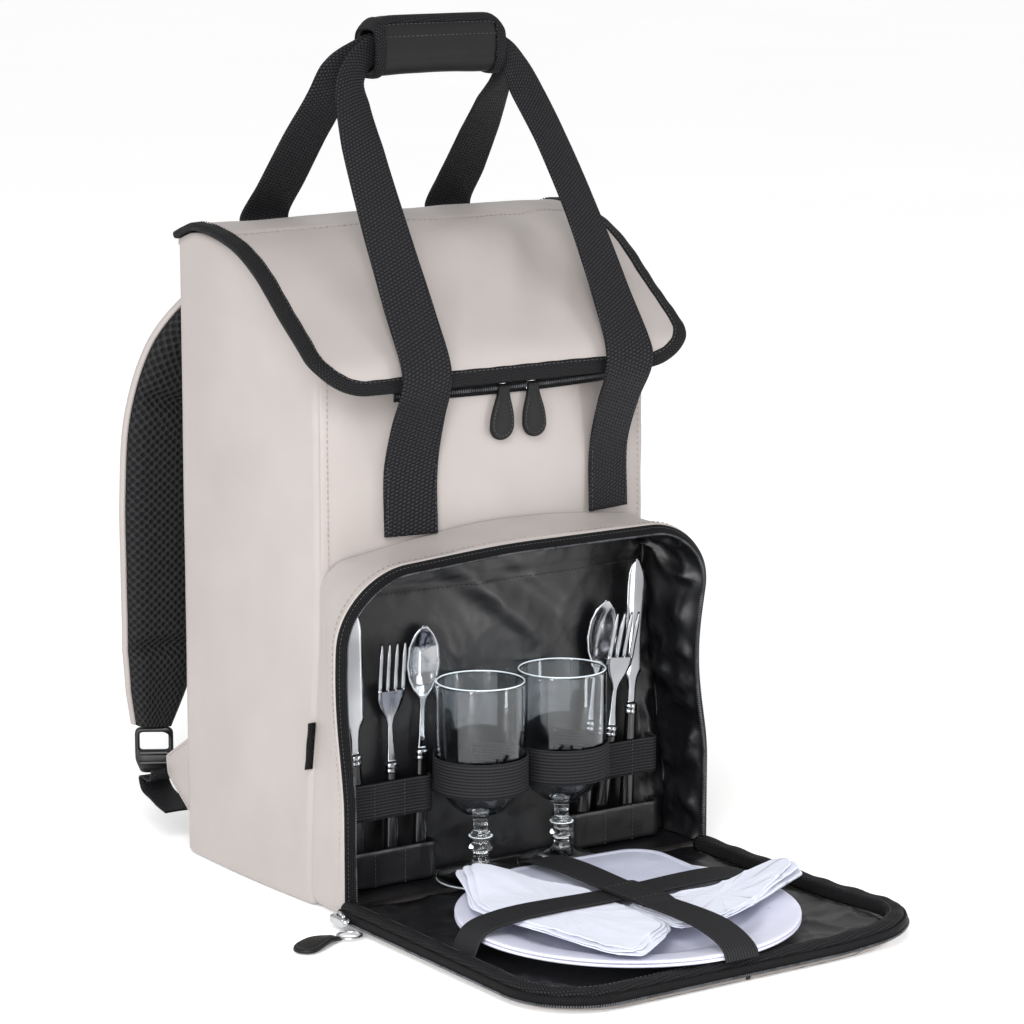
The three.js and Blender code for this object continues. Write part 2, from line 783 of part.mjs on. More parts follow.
// Outfit: plates, board, napkins and the two crossed elastic straps that hold them
const flapTop = flapPanelThickness;
const plateRadius = plateDiameter / 2;
const plateY = rimY - plateBackGap - plateRadius;

// Profile of a plate: columns are the radius as a share and the height as a share
const plateRows = [
  { radius: 0, height: 0 },
  { radius: 0.62, height: 0 },
  { radius: 0.7, height: 0.2 },
  { radius: 0.78, height: 0.62 },
  { radius: 0.98, height: 1 },
];

function addPlate(name, base) {
  const rise = plateHeight - plateWall;
  const under = plateRows.map((row) => new THREE.Vector2(row.radius * plateRadius, row.height * rise));
  const over = under.map((place) => new THREE.Vector2(place.x, place.y + plateWall));
  const edge = new THREE.Vector2(plateRadius, rise + plateWall / 2);
  const geometry = new THREE.LatheGeometry([...under, edge, ...over.reverse()], 32);
  const plate = addPiece(name, geometry, "plate");
  plate.geometry.rotateX(Math.PI / 2);
  plate.position.set(plateShift, plateY, base);
}

function roundedSheet(width, depth, corner, thickness) {
  const shape = new THREE.Shape();
  const [x, y] = [width / 2, depth / 2];
  shape.moveTo(corner - x, -y);
  shape.lineTo(x - corner, -y);
  shape.absarc(x - corner, corner - y, corner, -Math.PI / 2, 0, false);
  shape.absarc(x - corner, y - corner, corner, 0, Math.PI / 2, false);
  shape.absarc(corner - x, y - corner, corner, Math.PI / 2, Math.PI, false);
  shape.absarc(corner - x, corner - y, corner, Math.PI, 1.5 * Math.PI, false);
  return levelPlate(shape, thickness);
}

function addOutfitOnFlap() {
  const lower = flapTop + seat;
  const upper = lower + plateWall + seat;
  addPlate("plate_lower", lower);
  addPlate("plate_upper", upper);
  const rimTop = upper + plateHeight;
  const board = addPiece("board", roundedSheet(boardWidth, boardDepth, boardCorner, boardThickness), "board");
  board.rotation.z = boardTurn;
  board.position.set(plateShift + boardOffset[0], plateY + boardOffset[1], rimTop + seat);
  const boardTop = rimTop + seat + boardThickness;

  // Each napkin is a folded pad; its corners are shares of the plates' radius
  const napkins = [
    {
      name: "napkin_left",
      outline: [
        [-0.52, 0.97], [-0.3, 0.83], [-0.07, 0.38], [-0.07, -0.54],
        [-0.52, -0.85], [-0.63, -0.73], [-0.82, 0.36],
      ],
    },
    {
      name: "napkin_right",
      outline: [[-0.064, -0.04], [-0.064, -0.56], [0.24, -0.57], [1.1, -0.21], [1.16, -0.09], [1.08, -0.04]],
    },
  ];
  for (const { name, outline } of napkins) {
    const points = outline.map(([x, y]) => new THREE.Vector2(x * plateRadius, y * plateRadius));
    const napkin = addPiece(name, levelPlate(new THREE.Shape(points), napkinThickness), "cotton");
    napkin.position.set(plateShift, plateY, boardTop + seat);
  }
  const pileTop = boardTop + seat + napkinThickness;

  // Crossed elastic straps. Each rises from the flap at one end, passes close over the rim
  // of what lies there, rests on the pile and goes down again at its other end.
  const half = elasticThickness / 2;
  const onPanel = { reach: plateRadius + strapOverrun, z: flapTop + seat + half };
  const onRim = { reach: plateRadius + strapRimOverrun, z: flapRimLift + flapRimHeight + seat + half };
  const overPlate = { ...onPanel, rim: rimTop + 3 * seat + half };
  const overBoard = {
    reach: plateRadius + strapRimOverrun,
    z: rimTop - plateWall,
    rim: boardTop + 3 * seat + half,
  };
  const crossed = [
    { name: "plate_strap_wide", turn: 0, shift: strapWideShift, lift: 0, ends: [overPlate, overPlate] },
    {
      name: "plate_strap_long",
      turn: -Math.PI / 2,
      shift: strapLongShift,
      lift: elasticThickness + 2 * seat,
      ends: [overBoard, { ...onRim, rim: overPlate.rim }],
    },
  ];
  for (const { name, turn, shift, lift, ends } of crossed) {
    const high = pileTop + seat + half + lift;
    const profile = [
      [-ends[0].reach, ends[0].z],
      [-plateRadius * 1.01, ends[0].rim],
      [-plateRadius * 0.78, high],
      [0, high],
      [plateRadius * 0.78, high],
      [plateRadius * 0.99, ends[1].rim],
      [ends[1].reach, ends[1].z],
    ];
    const strap = addPiece(name, bandSolid({
      stations: profile.map(([x, z]) => ({ centre: [x, 0, z], wide: [0, 1, 0], width: elasticWidth })),
      thickness: elasticThickness,
      steps: 24,
    }), "elastic");
    strap.rotation.z = turn;
    strap.position.set(plateShift + shift[0], plateY + shift[1], 0);
  }
}

// Goblets: columns are the radius and the height as shares of the goblet's own
const gobletRows = [
  { radius: 1, height: 0 },
  { radius: 1, height: 0.018 },
  { radius: 0.42, height: 0.06 },
  { radius: 0.2, height: 0.09 },
  { radius: 0.17, height: 0.13 },
  { radius: 0.26, height: 0.15 },
  { radius: 0.26, height: 0.17 },
  { radius: 0.16, height: 0.19 },
  { radius: 0.24, height: 0.22 },
  { radius: 0.16, height: 0.25 },
  { radius: 0.18, height: 0.31 },
  { radius: 0.5, height: 0.355 },
  { radius: 0.8, height: 0.43 },
  { radius: 0.95, height: 0.54 },
  { radius: 1, height: 0.68 },
  { radius: 1, height: 1 },
];
const bowlStart = 11;
const pocketFloor = pocketFloorThickness + liningGap + liningThickness;

// The goblets lean on nothing: their bowls just clear the back wall
const gobletY = wallFace(gobletShift, pocketFloor + gobletHeight) - gobletRadius - seat;

function addGoblet(name, x) {
  const outer = gobletRows.map((row) => new THREE.Vector2(
    row.radius * gobletRadius,
    row.height * gobletHeight,
  ));
  const inner = gobletRows.slice(bowlStart).map((row) => new THREE.Vector2(
    Math.max(0, row.radius * gobletRadius - gobletWall),
    row.height * gobletHeight + (row.height < 1 ? gobletWall : 0),
  ));
  const cup = new THREE.Vector2(0, gobletRows[bowlStart].height * gobletHeight);
  const profile = [new THREE.Vector2(0, 0), ...outer, ...inner.reverse(), cup];
  const geometry = new THREE.LatheGeometry(profile, 18);
  geometry.rotateX(Math.PI / 2);
  const goblet = addPiece(name, geometry, "clear");
  goblet.position.set(x, gobletY, pocketFloor + seat);
}

// Middle of a band's thickness where it lies flat on the back wall
function bandOnWall(x, z, height) {
  const nearest = Math.min(wallFace(x, z - height / 2), wallFace(x, z + height / 2));
  return nearest - seat - elasticThickness / 2;
}

// Band that is sewn to the back wall at two places and bows out round what it holds:
// columns are the place across as a share and how far out it stands as a share
const heldBandRows = [
  { across: 0, out: 0 },
  { across: 0.03, out: 0.95 },
  { across: 0.2, out: 1 },
  { across: 0.5, out: 1 },
  { across: 0.8, out: 1 },
  { across: 0.97, out: 0.95 },
  { across: 1, out: 0 },
];

function addHeldBand(name, { from, to, front, z, height }) {
  const stations = heldBandRows.map((row) => {
    const x = mix(from, to, row.across);
    return { centre: [x, mix(bandOnWall(x, z, height), front, row.out), z], wide: [0, 0, 1], width: height };
  });
  addPiece(name, bandSolid({ stations, thickness: elasticThickness, steps: 12 }), "elastic");
}

function addGoblets() {
  for (const [side, sign] of [["left", -1], ["right", 1]]) {
    const x = gobletShift + sign * gobletSpacing / 2;
    addGoblet("goblet_" + side, x);
    addGobletBand("goblet_band_" + side, x);
  }
}

// Elastic band round the front of a goblet, sewn to the back wall behind it
function addGobletBand(name, x) {
  const radius = gobletRadius + 2 * seat + elasticThickness / 2;
  const turns = 14;
  const places = [[x - gobletBandFoot, bandOnWall(x - gobletBandFoot, gobletBandZ, gobletBandHeight)]];
  for (let i = 0; i <= turns; i += 1) {
    const angle = mix(-gobletBandTurn, gobletBandTurn, i / turns);
    places.push([x + radius * Math.sin(angle), gobletY - radius * Math.cos(angle)]);
  }
  places.push([x + gobletBandFoot, bandOnWall(x + gobletBandFoot, gobletBandZ, gobletBandHeight)]);
  const stations = places.map(([px, py]) => ({
    centre: [px, py, gobletBandZ],
    wide: [0, 0, 1],
    width: gobletBandHeight,
  }));
  addPiece(name, bandSolid({ stations, thickness: elasticThickness }), "elastic");
}

// Cutlery: every piece has a steel head and a plastic handle end to end. Columns are the
// kind, the place across as a share of half the compartment, the tilt sideways, the lean
// forwards and how much lower it sits. The left knife keeps its distance from the side wall.
const wallBehindHandles = 0.65;
const holdHalf = mix(pocketHalf, frontTopWidth / 2, wallBehindHandles);
const knifeAcross = (knifeWallGap - holdHalf) / pocketHalf;
const cutleryRows = [
  { name: "knife_left", kind: "knife", across: knifeAcross, tilt: -0.02, lean: 0, sink: 5 },
  { name: "fork_left", kind: "fork", across: -0.631, tilt: 0.01, lean: 0, sink: 0 },
  { name: "spoon_left", kind: "spoon", across: -0.475, tilt: 0.03, lean: 0, sink: 0 },
  { name: "spoon_right", kind: "spoon", across: 0.451, tilt: 0.13, lean: 0, sink: 0 },
  { name: "fork_right", kind: "fork", across: 0.562, tilt: 0.1, lean: 0.07, sink: 0 },
  { name: "knife_right", kind: "knife", across: 0.68, tilt: 0.05, lean: 0, sink: 0 },
];

// Sewn ends of the two cutlery bands and sleeves, as shares of half the compartment
const cutleryBandRows = [
  { side: "left", band: [-0.9, -0.425], sleeve: [-0.91, -0.408] },
  { side: "right", band: [0.366, 0.83], sleeve: [0.327, 0.843] },
];

function knifeHead() {
  const length = knifeBladeLength;
  const half = knifeWidth / 2;
  const shape = new THREE.Shape();
  shape.moveTo(-half * 0.55, 0);
  shape.lineTo(half * 0.55, 0);
  shape.lineTo(half * 0.6, length * 0.12);
  shape.lineTo(half, length * 0.2);
  shape.lineTo(half, length * 0.82);
  shape.quadraticCurveTo(half * 0.9, length * 0.96, -half * 0.5, length);
  shape.lineTo(-half, length * 0.96);
  shape.lineTo(-half * 0.7, length * 0.12);
  return shape;
}

function forkHead() {
  const length = forkHeadLength;
  const half = forkWidth / 2;
  const neck = 0.16;
  const shape = new THREE.Shape();
  shape.moveTo(-half * neck * 1.6, 0);
  shape.lineTo(half * neck * 1.6, 0);
  shape.lineTo(half * neck, length * 0.3);
  shape.quadraticCurveTo(half * 0.9, length * 0.36, half, length * 0.52);
  const tines = 4;
  const pitch = 2 * half / (tines - 0.42);
  const tine = pitch * 0.58;
  for (let i = 0; i < tines; i += 1) {
    const right = half - i * pitch;
    shape.lineTo(right - tine * 0.15, length * 0.98);
    shape.lineTo(right - tine * 0.5, length);
    shape.lineTo(right - tine * 0.85, length * 0.98);
    shape.lineTo(right - tine, length * (i < tines - 1 ? 0.6 : 0.52));
    if (i < tines - 1) shape.lineTo(right - pitch, length * 0.6);
  }
  shape.quadraticCurveTo(-half * 0.9, length * 0.36, -half * neck, length * 0.3);
  return shape;
}

// Spoon: columns are the place along the head, the half width as a share and the dip
const spoonRows = [
  { along: 0, half: 0.2, dip: 0 },
  { along: 0.2, half: 0.14, dip: 0 },
  { along: 0.38, half: 0.16, dip: 0 },
  { along: 0.46, half: 0.5, dip: 0.35 },
  { along: 0.55, half: 0.8, dip: 0.8 },
  { along: 0.68, half: 1, dip: 1 },
  { along: 0.82, half: 0.9, dip: 0.8 },
  { along: 0.93, half: 0.6, dip: 0.35 },
  { along: 1, half: 0.16, dip: 0 },
];

function spoonGeometry() {
  const across = 4;
  const along = spoonRows.length - 1;
  const point = (u, v, layer) => {
    const row = spoonRows[Math.round(v * along)];
    const share = mix(-1, 1, u);
    const dip = row.dip * spoonDip * (1 - share * share);
    const y = dip - (layer ? steelThickness : 0);
    return [share * row.half * spoonWidth / 2, y, row.along * spoonHeadLength];
  };
  return layeredSolid({ across, along, point });
}

function headGeometry(kind) {
  if (kind === "spoon") return spoonGeometry();
  return uprightPlate(kind === "knife" ? knifeHead() : forkHead(), steelThickness);
}

function addCutlery() {
  for (const { name, kind, across, tilt, lean, sink } of cutleryRows) {
    const frame = new THREE.Group();
    frame.position.set(across * pocketHalf, cutleryY + lean * cutleryBandHeight / 2, cutleryBandZ);
    frame.rotation.order = "YXZ";
    frame.rotation.y = tilt;
    frame.rotation.x = lean;
    model.add(frame);
    const handleTop = cutleryJoint[kind] - sink - cutleryBandZ;
    const handleLength = cutleryJoint[kind] - sink - pocketFloor - cutleryLift;
    const thin = handleWidth * handleTaper;
    const handle = new THREE.CylinderGeometry(thin / 2, handleWidth / 2, handleLength, 10, 1);
    handle.rotateX(Math.PI / 2);
    handle.scale(1, handleThickness / handleWidth, 1);
    const grip = addPiece(name + "_handle", handle, "handle");
    grip.position.z = handleTop - handleLength / 2;
    frame.add(grip);
    const head = addPiece(name, headGeometry(kind), "steel");
    head.position.set(0, steelThickness / 2, handleTop + seat);
    frame.add(head);
  }
  const bandFront = cutleryY - handleAtBand * handleThickness / 2 - elasticThickness / 2;
  const sleeveFront = cutleryY - handleThickness / 2 - elasticThickness / 2;
  for (const { side, band, sleeve } of cutleryBandRows) {
    addHeldBand("cutlery_band_" + side, {
      from: band[0] * pocketHalf,
      to: band[1] * pocketHalf,
      front: bandFront - seat,
      z: cutleryBandZ,
      height: cutleryBandHeight,
    });
    addHeldBand("cutlery_sleeve_" + side, {
      from: sleeve[0] * pocketHalf,
      to: sleeve[1] * pocketHalf,
      front: sleeveFront - seat,
      z: pocketFloor + seat + sleeveHeight / 2,
      height: sleeveHeight,
    });
  }
}

// Carry handles. Columns are the height as a share from the lid's edge to the grip's middle,
// the stand-off of the webbing as a share of its foot's, how far the half span has drawn in
// to the grip, the width as a share, how far the webbing has turned on edge, how far its
// outer edge has twisted back in radians and how far it sways to the left as a share.
const frontHandleRows = [
  { rise: 0, stand: 1, draw: 0, width: 1, turn: 0 },
  { rise: 0.063, stand: 1.01, draw: 0, width: 1, turn: 0 },
  { rise: 0.246, stand: 0.84, draw: 0.02, width: 0.93, turn: 0, twist: 0.15, sway: 0.5 },
  { rise: 0.487, stand: 0.58, draw: 0.07, width: 0.84, turn: 0, twist: 0.2, sway: 1 },
  { rise: 0.71, stand: 0.31, draw: 0.2, width: 0.77, turn: 0.05, twist: 0.2, sway: 1.1 },
  { rise: 0.85, stand: 0.13, draw: 0.37, width: 0.68, turn: 0.2, twist: 0.1, sway: 0.8 },
  { rise: 0.92, stand: 0.05, draw: 0.52, width: 0.56, turn: 0.42, sway: 0.3 },
  { rise: 0.97, stand: 0.015, draw: 0.8, width: 0.5, turn: 0.68 },
];
const backHandleRows = [
  { rise: -0.127, stand: 1, draw: 0, width: 1, turn: 0 },
  { rise: -0.016, stand: 1, draw: 0, width: 1, turn: 0 },
  { rise: 0.032, stand: 1.005, draw: 0.01, width: 1, turn: 0 },
  { rise: 0.23, stand: 0.76, draw: 0.08, width: 0.97, turn: 0, sway: 0.15 },
  { rise: 0.5, stand: 0.41, draw: 0.18, width: 0.88, turn: 0.06, sway: 0.65 },
  { rise: 0.715, stand: 0.14, draw: 0.3, width: 0.76, turn: 0.2, sway: 1 },
  { rise: 0.875, stand: 0.04, draw: 0.32, width: 0.56, turn: 0.42, sway: 0.6 },
  { rise: 0.96, stand: 0.01, draw: 0.76, width: 0.5, turn: 0.7, sway: 0.15 },
];
const gripMiddle = gripTop - gripHeight / 2;
const strapGap = seat + webbingThickness / 2;

// Station on one side of a handle; slope is how much the webbing follows the front panel
function handleStation({ sign, halfSpan, shift, y, z, draw, width, turn, twist = 0, sway = 0, slope = 0 }) {
  const span = mix(halfSpan, gripWidth / 2 - gripInset, draw);
  const x = mix(shift, gripShift, Math.min(1, 2 * draw)) + sign * span - sway * handleSway;
  const fall = slope * (frontY(x + 1, z) - frontY(x - 1, z)) / 2;
  const angle = turn * Math.PI / 2;
  return {
    centre: [x, y(x), z],
    wide: [-sign * Math.cos(angle), -sign * fall - twist, -Math.sin(angle)],
    width: webbingWidth * width,
  };
}

function handleBand({ stationsOf, grip }) {
  const middle = { centre: [gripShift, grip, gripMiddle], wide: [0, 0, -1], width: webbingWidth * gripFold };
  return [...stationsOf(-1), middle, ...stationsOf(1).reverse()];
}

function addCarryHandles() {
  const place = (row, sign, base, foot, grip, span) => handleStation({
    ...row,
    ...span,
    sign,
    y: () => mix(grip, foot, row.stand),
    z: mix(base, gripMiddle, row.rise),
  });
  const inGrip = { rise: 1, stand: 0, draw: 1.3, width: gripFold, turn: 1 };

  // Front handle: sewn down the front panel from the compartment to the lid's edge
  const lipY = lidRows[lidRows.length - 1].depth * backY - bindingRise - strapGap - softGap;
  const frontSpan = { halfSpan: frontHandleHalfSpan, shift: frontHandleShift };
  const frontGrip = gripY - handleStep;
  const sewn = (sign, z, slope, free) => handleStation({
    ...frontSpan,
    sign,
    z: z(sign),
    draw: 0,
    width: 1,
    turn: 0,
    slope,
    y: (x) => mix(frontY(x, z(sign)) - softGap - strapGap, lipY, free),
  });
  const footZ = (sign) => {
    const x = frontHandleShift + sign * frontHandleHalfSpan;
    return pocketRootHeight + handleFootGap - handleFootShare * rootDrop(x, pocketRootHeight);
  };
  const panelZ = (share) => (sign) => mix(footZ(sign), lidFrontHeight, share);
  addPiece("front_handle", bandSolid({
    stations: handleBand({
      grip: frontGrip,
      stationsOf: (sign) => [
        sewn(sign, footZ, 1, 0),
        sewn(sign, panelZ(0.45), 1, 0),
        sewn(sign, panelZ(0.78), 0.5, 0.5),
        ...[...frontHandleRows, inGrip]
          .map((row) => place(row, sign, lidFrontHeight, lipY, frontGrip, frontSpan)),
      ],
    }),
    thickness: webbingThickness,
    steps: 44,
  }), "webbing");

  // Back handle: sewn to the top of the back
  const backFoot = backY + 2 * seat + strapGap;
  const lidBack = mix(lidFrontHeight, lidTopHeight, lidRows[0].rise);
  const backSpan = { halfSpan: backHandleHalfSpan, shift: backHandleShift };
  const backGrip = gripY + handleStep;
  addPiece("back_handle", bandSolid({
    stations: handleBand({
      grip: backGrip,
      stationsOf: (sign) => [...backHandleRows, inGrip]
        .map((row) => place(row, sign, lidBack, backFoot, backGrip, backSpan)),
    }),
    thickness: webbingThickness,
    steps: 36,
  }), "webbing");

  // Padded wrap round both webbings: a thick-walled sleeve with rounded edges and flared mouths
  const sleeveSides = 16;
  const boreHalfY = handleStep + webbingThickness / 2 + softGap;
  const boreHalfZ = webbingWidth * gripFold / 2 + softGap;
  const wrap = (u, v, layer) => {
    const angle = u * 2 * Math.PI;
    const [c, d] = [Math.cos(angle), Math.sin(angle)];
    const power = layer ? 0.25 : 0.7;
    const atEnd = (2 * v - 1) ** 6;
    const soft = 1 - 0.06 * atEnd;
    const halfY = layer ? mix(boreHalfY, gripMouthDepth / 2, atEnd) : (gripThickness / 2) * soft;
    const halfZ = layer ? mix(boreHalfZ, gripMouthHeight / 2, atEnd) : (gripHeight / 2) * soft;
    return [
      gripShift + mix(-0.5, 0.5, v) * gripWidth,
      gripY + Math.sign(c) * Math.abs(c) ** power * halfY,
      gripMiddle + Math.sign(d) * Math.abs(d) ** power * halfZ,
    ];
  };
  const sleeve = layeredSolid({ across: sleeveSides, along: 6, closed: true, point: wrap });
  addPiece("grip_wrap", sleeve, "leather");
}

// Shoulder straps. Columns are the place across as a share of half the body's width, the
// stand-off behind the back, the height as a share between the pad's ends and the half width.
const padRows = [
  { across: 0.475, stand: 0, rise: 1, half: 0.76 },
  { across: 0.647, stand: 0.36, rise: 0.914, half: 0.94 },
  { across: 0.785, stand: 0.66, rise: 0.821, half: 1 },
  { across: 0.871, stand: 0.8, rise: 0.691, half: 1 },
  { across: 0.898, stand: 0.84, rise: 0.512, half: 1 },
  { across: 0.908, stand: 0.84, rise: 0.327, half: 0.96 },
  { across: 0.92, stand: 0.88, rise: 0.173, half: 0.88 },
  { across: 0.94, stand: 0.94, rise: 0.074, half: 0.68 },
  { across: 0.955, stand: 1, rise: 0, half: 0.46 },
];

function addShoulderStrap(side, sign) {
  const nearest = backPanelThickness + 2 * seat + padThickness / 2;
  const stations = padRows.map((row) => ({
    centre: [
      sign * row.across * halfWidth,
      backY + mix(nearest, padStandOff, row.stand),
      mix(padBottom, padTop, row.rise),
    ],
    width: 2 * padHalfWidth * row.half,
  }));
  const skinAt = (padThickness - padSkin) / 2;
  addPiece("shoulder_strap_" + side, bandSolid({
    stations,
    thickness: padSkin,
    offset: -skinAt,
    across: 2,
    steps: 16,
  }), "leatherette");
  const meshThickness = padThickness - padSkin - seat;
  addPiece("strap_mesh_" + side, bandSolid({
    stations: stations.map((station) => ({ ...station, width: station.width - 2 * padHem })),
    thickness: meshThickness,
    offset: (padThickness - meshThickness) / 2,
    across: 2,
    steps: 16,
  }), "mesh");
}

// Lower end of a shoulder strap: ladder-lock buckle, webbing and the sewn anchor tab
function addStrapEnd(side, sign) {
  const tabX = sign * (halfBack - anchorInset);
  const tabShape = new THREE.Shape([
    new THREE.Vector2(0, anchorTop),
    new THREE.Vector2(0, anchorTop - anchorLength),
    new THREE.Vector2(anchorReach * 0.94, anchorTip - anchorTipHeight / 2),
    new THREE.Vector2(anchorReach, anchorTip + anchorTipHeight / 2),
  ]);
  const tab = levelPlate(tabShape, anchorThickness);
  tab.rotateX(Math.PI / 2);
  tab.rotateZ(Math.PI / 2);
  const anchor = addPiece("anchor_tab_" + side, tab, "leatherette");
  anchor.position.set(tabX - anchorThickness / 2, backY + seat, 0);

  const padEnd = padRows[padRows.length - 1];
  const lockX = sign * padEnd.across * halfWidth;
  const lockY = backY + padStandOff;
  const lockTop = padBottom - buckleGap;
  const outline = new THREE.Shape();
  const [hw, hh] = [buckleWidth / 2, buckleHeight];
  outline.moveTo(-hw, 0);
  outline.lineTo(hw, 0);
  outline.lineTo(hw, -hh * 0.7);
  outline.lineTo(hw * 0.7, -hh);
  outline.lineTo(-hw * 0.7, -hh);
  outline.lineTo(-hw, -hh * 0.7);
  const slot = new THREE.Path();
  const bar = buckleBar;
  slot.moveTo(-hw + bar, -bar);
  slot.lineTo(-hw + bar, -hh * 0.5);
  slot.lineTo(hw - bar, -hh * 0.5);
  slot.lineTo(hw - bar, -bar);
  outline.holes.push(slot);
  const lock = addPiece("strap_buckle_" + side, uprightPlate(outline, buckleThickness), "buckle");
  lock.rotation.z = sign * buckleTurn;
  lock.position.set(lockX, lockY + buckleThickness / 2, lockTop);

  // Webbing from the tab's tip under the buckle, with its free tail hanging forward
  const low = lockTop - buckleHeight;
  const tabTipY = backY + anchorReach;
  const stations = [
    { centre: [tabX + sign, tabTipY + seat, anchorTip - 3] },
    { centre: [mix(tabX, lockX, 0.5), mix(tabTipY, lockY, 0.4), low - webbingThickness / 2] },
    { centre: [lockX, lockY + 2, low - webbingThickness] },
    { centre: [lockX + sign * tailSpread * 0.2, lockY - tailLength * 0.09, mix(low, tailEnd, 0.58)] },
    { centre: [lockX + sign * tailSpread * 0.6, lockY - tailLength * 0.48, mix(low, tailEnd, 0.8)] },
    { centre: [lockX + sign * tailSpread, lockY - tailLength, tailEnd] },
  ];
  addPiece("strap_webbing_" + side, bandSolid({
    stations: stations.map((station) => ({ ...station, wide: [1, 0, 0], width: strapWebbingWidth })),
    thickness: webbingThickness - 0.6,
    steps: 12,
  }), "webbing");
}

// Slider at the flap's back corner, with its ring and leather tab lying on the floor
function addPocketSlider() {
  const flapSide = flapShift - flapWidth / 2 - seat - zipTapeThickness;
  const sliderBox = new THREE.BoxGeometry(sliderWidth, sliderLength, sliderHeight);
  const slider = addPiece("pocket_slider", sliderBox, "nickel");
  const sliderX = flapSide - seat - sliderWidth / 2;
  const sliderY = flapBack - seat - sliderLength / 2;
  slider.position.set(sliderX, sliderY, flapRimLift + sliderHeight / 2);
  const ring = addPiece("pocket_ring", new THREE.TorusGeometry(ringRadius, ringWire, 6, 14), "nickel");
  const ringX = sliderX - sliderWidth / 2;
  const ringY = sliderY - sliderLength / 2 - ringRadius;
  const ringZ = flapRimLift - ringWire - seat;
  ring.position.set(ringX, ringY, ringZ);
  const shape = pullShape(pocketPullLength, lidPullWidth);
  const pull = addPiece("pocket_pull", levelPlate(shape, leatherThickness), "leather");
  pull.rotation.z = -Math.PI / 2 + pullTurn;
  pull.position.set(ringX - ringRadius - ringWire - 2 * seat, ringY, ringZ - leatherThickness / 2);
}

// Bare loop label in the left seam
function addSideLabel() {
  const low = labelTop - labelHeight;
  const inner = (z) => -frontHalf(z) + 3 * seat;
  const shape = new THREE.Shape([
    new THREE.Vector2(inner(labelTop), labelTop),
    new THREE.Vector2(inner(labelTop) - labelReach, labelTop),
    new THREE.Vector2(inner(low) - labelReach, low),
    new THREE.Vector2(inner(low), low),
  ]);
  const label = addPiece("side_label", uprightPlate(shape, labelThickness), "binding");
  label.position.y = frontCornerY(low) + frontCornerRadius / 2;
}

addBody();
addBackPanel();
addLid();
addLidZip();
addPocket();
addFlap();
addOutfitOnFlap();
addGoblets();
addCutlery();
addCarryHandles();
addShoulderStrap("left", -1);
addShoulderStrap("right", 1);
addStrapEnd("left", -1);
addStrapEnd("right", 1);
addPocketSlider();
addSideLabel();

export default model;
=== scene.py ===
from math import copysign, cos, exp, hypot, pi, radians, sin, sqrt
import bpy
import numpy as np
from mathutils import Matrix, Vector, noise


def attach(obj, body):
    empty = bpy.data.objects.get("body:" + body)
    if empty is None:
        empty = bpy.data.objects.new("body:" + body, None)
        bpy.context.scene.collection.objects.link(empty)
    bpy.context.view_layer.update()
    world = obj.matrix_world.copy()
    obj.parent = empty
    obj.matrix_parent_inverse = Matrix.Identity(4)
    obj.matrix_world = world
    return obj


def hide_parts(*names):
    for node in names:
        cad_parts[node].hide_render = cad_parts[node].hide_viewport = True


# Picnic cooler backpack, standing open with its outfit strapped in.
# Shapes are worked out in millimetres in the CAD frame: +Z up, the front towards -Y.

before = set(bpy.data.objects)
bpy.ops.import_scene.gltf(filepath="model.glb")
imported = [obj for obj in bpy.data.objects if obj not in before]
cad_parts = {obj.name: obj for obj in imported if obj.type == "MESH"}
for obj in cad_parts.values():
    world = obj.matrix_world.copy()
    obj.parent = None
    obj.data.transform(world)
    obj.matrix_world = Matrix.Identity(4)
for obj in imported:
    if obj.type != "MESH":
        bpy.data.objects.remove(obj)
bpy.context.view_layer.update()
print("frame loaded:", len(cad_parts), "nodes")


# Small helpers for shares, folds and places

def between(start, end, share):
    return start + (end - start) * share


def eased(share):
    share = min(1.0, max(0.0, share))
    return share * share * (3 - 2 * share)


def hump(distance, reach):
    share = min(1.0, abs(distance) / reach)
    return (1 - share * share) ** 2


# Angles once round
def around(count):
    return np.linspace(0, 2 * pi, count, endpoint=False)


# A sine or cosine that draws a rounded square instead of a circle
def squared(value, power):
    return copysign(abs(value) ** power, value)


def unit(vector):
    return vector / max(1e-9, np.linalg.norm(vector))


# Soft uneven cloth: -1 to 1, with bumps about as large as size
def unevenness(place, size, seed=0.0):
    x, y, z = place
    return noise.noise(Vector((x / size + seed * 7.3, y / size - seed * 3.1, z / size + seed * 1.7)))


# Crumpled cloth: sharp ridges between soft hollows, 0 to 1
def crumple(place, size, seed=0.0):
    ridge = 1 - abs(unevenness(place, size, seed)) * 2.6
    return max(0.0, ridge) ** 2


# Smooth curve through points, as the CAD draws its bands
def curveAt(points, share):
    last = len(points) - 1
    place = share * last
    low = min(last - 1, int(place))
    weight = place - low
    p1, p2 = points[low], points[low + 1]
    p0 = points[low - 1] if low > 0 else 2 * points[0] - points[1]
    p3 = points[low + 2] if low + 2 <= last else 2 * points[last] - points[last - 1]
    step = [sqrt(np.linalg.norm(b - a)) for a, b in ((p0, p1), (p1, p2), (p2, p3))]
    step[1] = step[1] if step[1] > 1e-4 else 1.0
    step[0] = step[0] if step[0] > 1e-4 else step[1]
    step[2] = step[2] if step[2] > 1e-4 else step[1]
    run1 = ((p1 - p0) / step[0] - (p2 - p0) / (step[0] + step[1]) + (p2 - p1) / step[1]) * step[1]
    run2 = ((p2 - p1) / step[1] - (p3 - p1) / (step[1] + step[2]) + (p3 - p2) / step[2]) * step[1]
    w2, w3 = weight * weight, weight ** 3
    here = p1 + run1 * weight + (3 * p2 - 3 * p1 - 2 * run1 - run2) * w2 + (2 * p1 - 2 * p2 + run1 + run2) * w3
    slope = run1 + 2 * (3 * p2 - 3 * p1 - 2 * run1 - run2) * weight + 3 * (2 * p1 - 2 * p2 + run1 + run2) * w2
    return here, unit(slope)


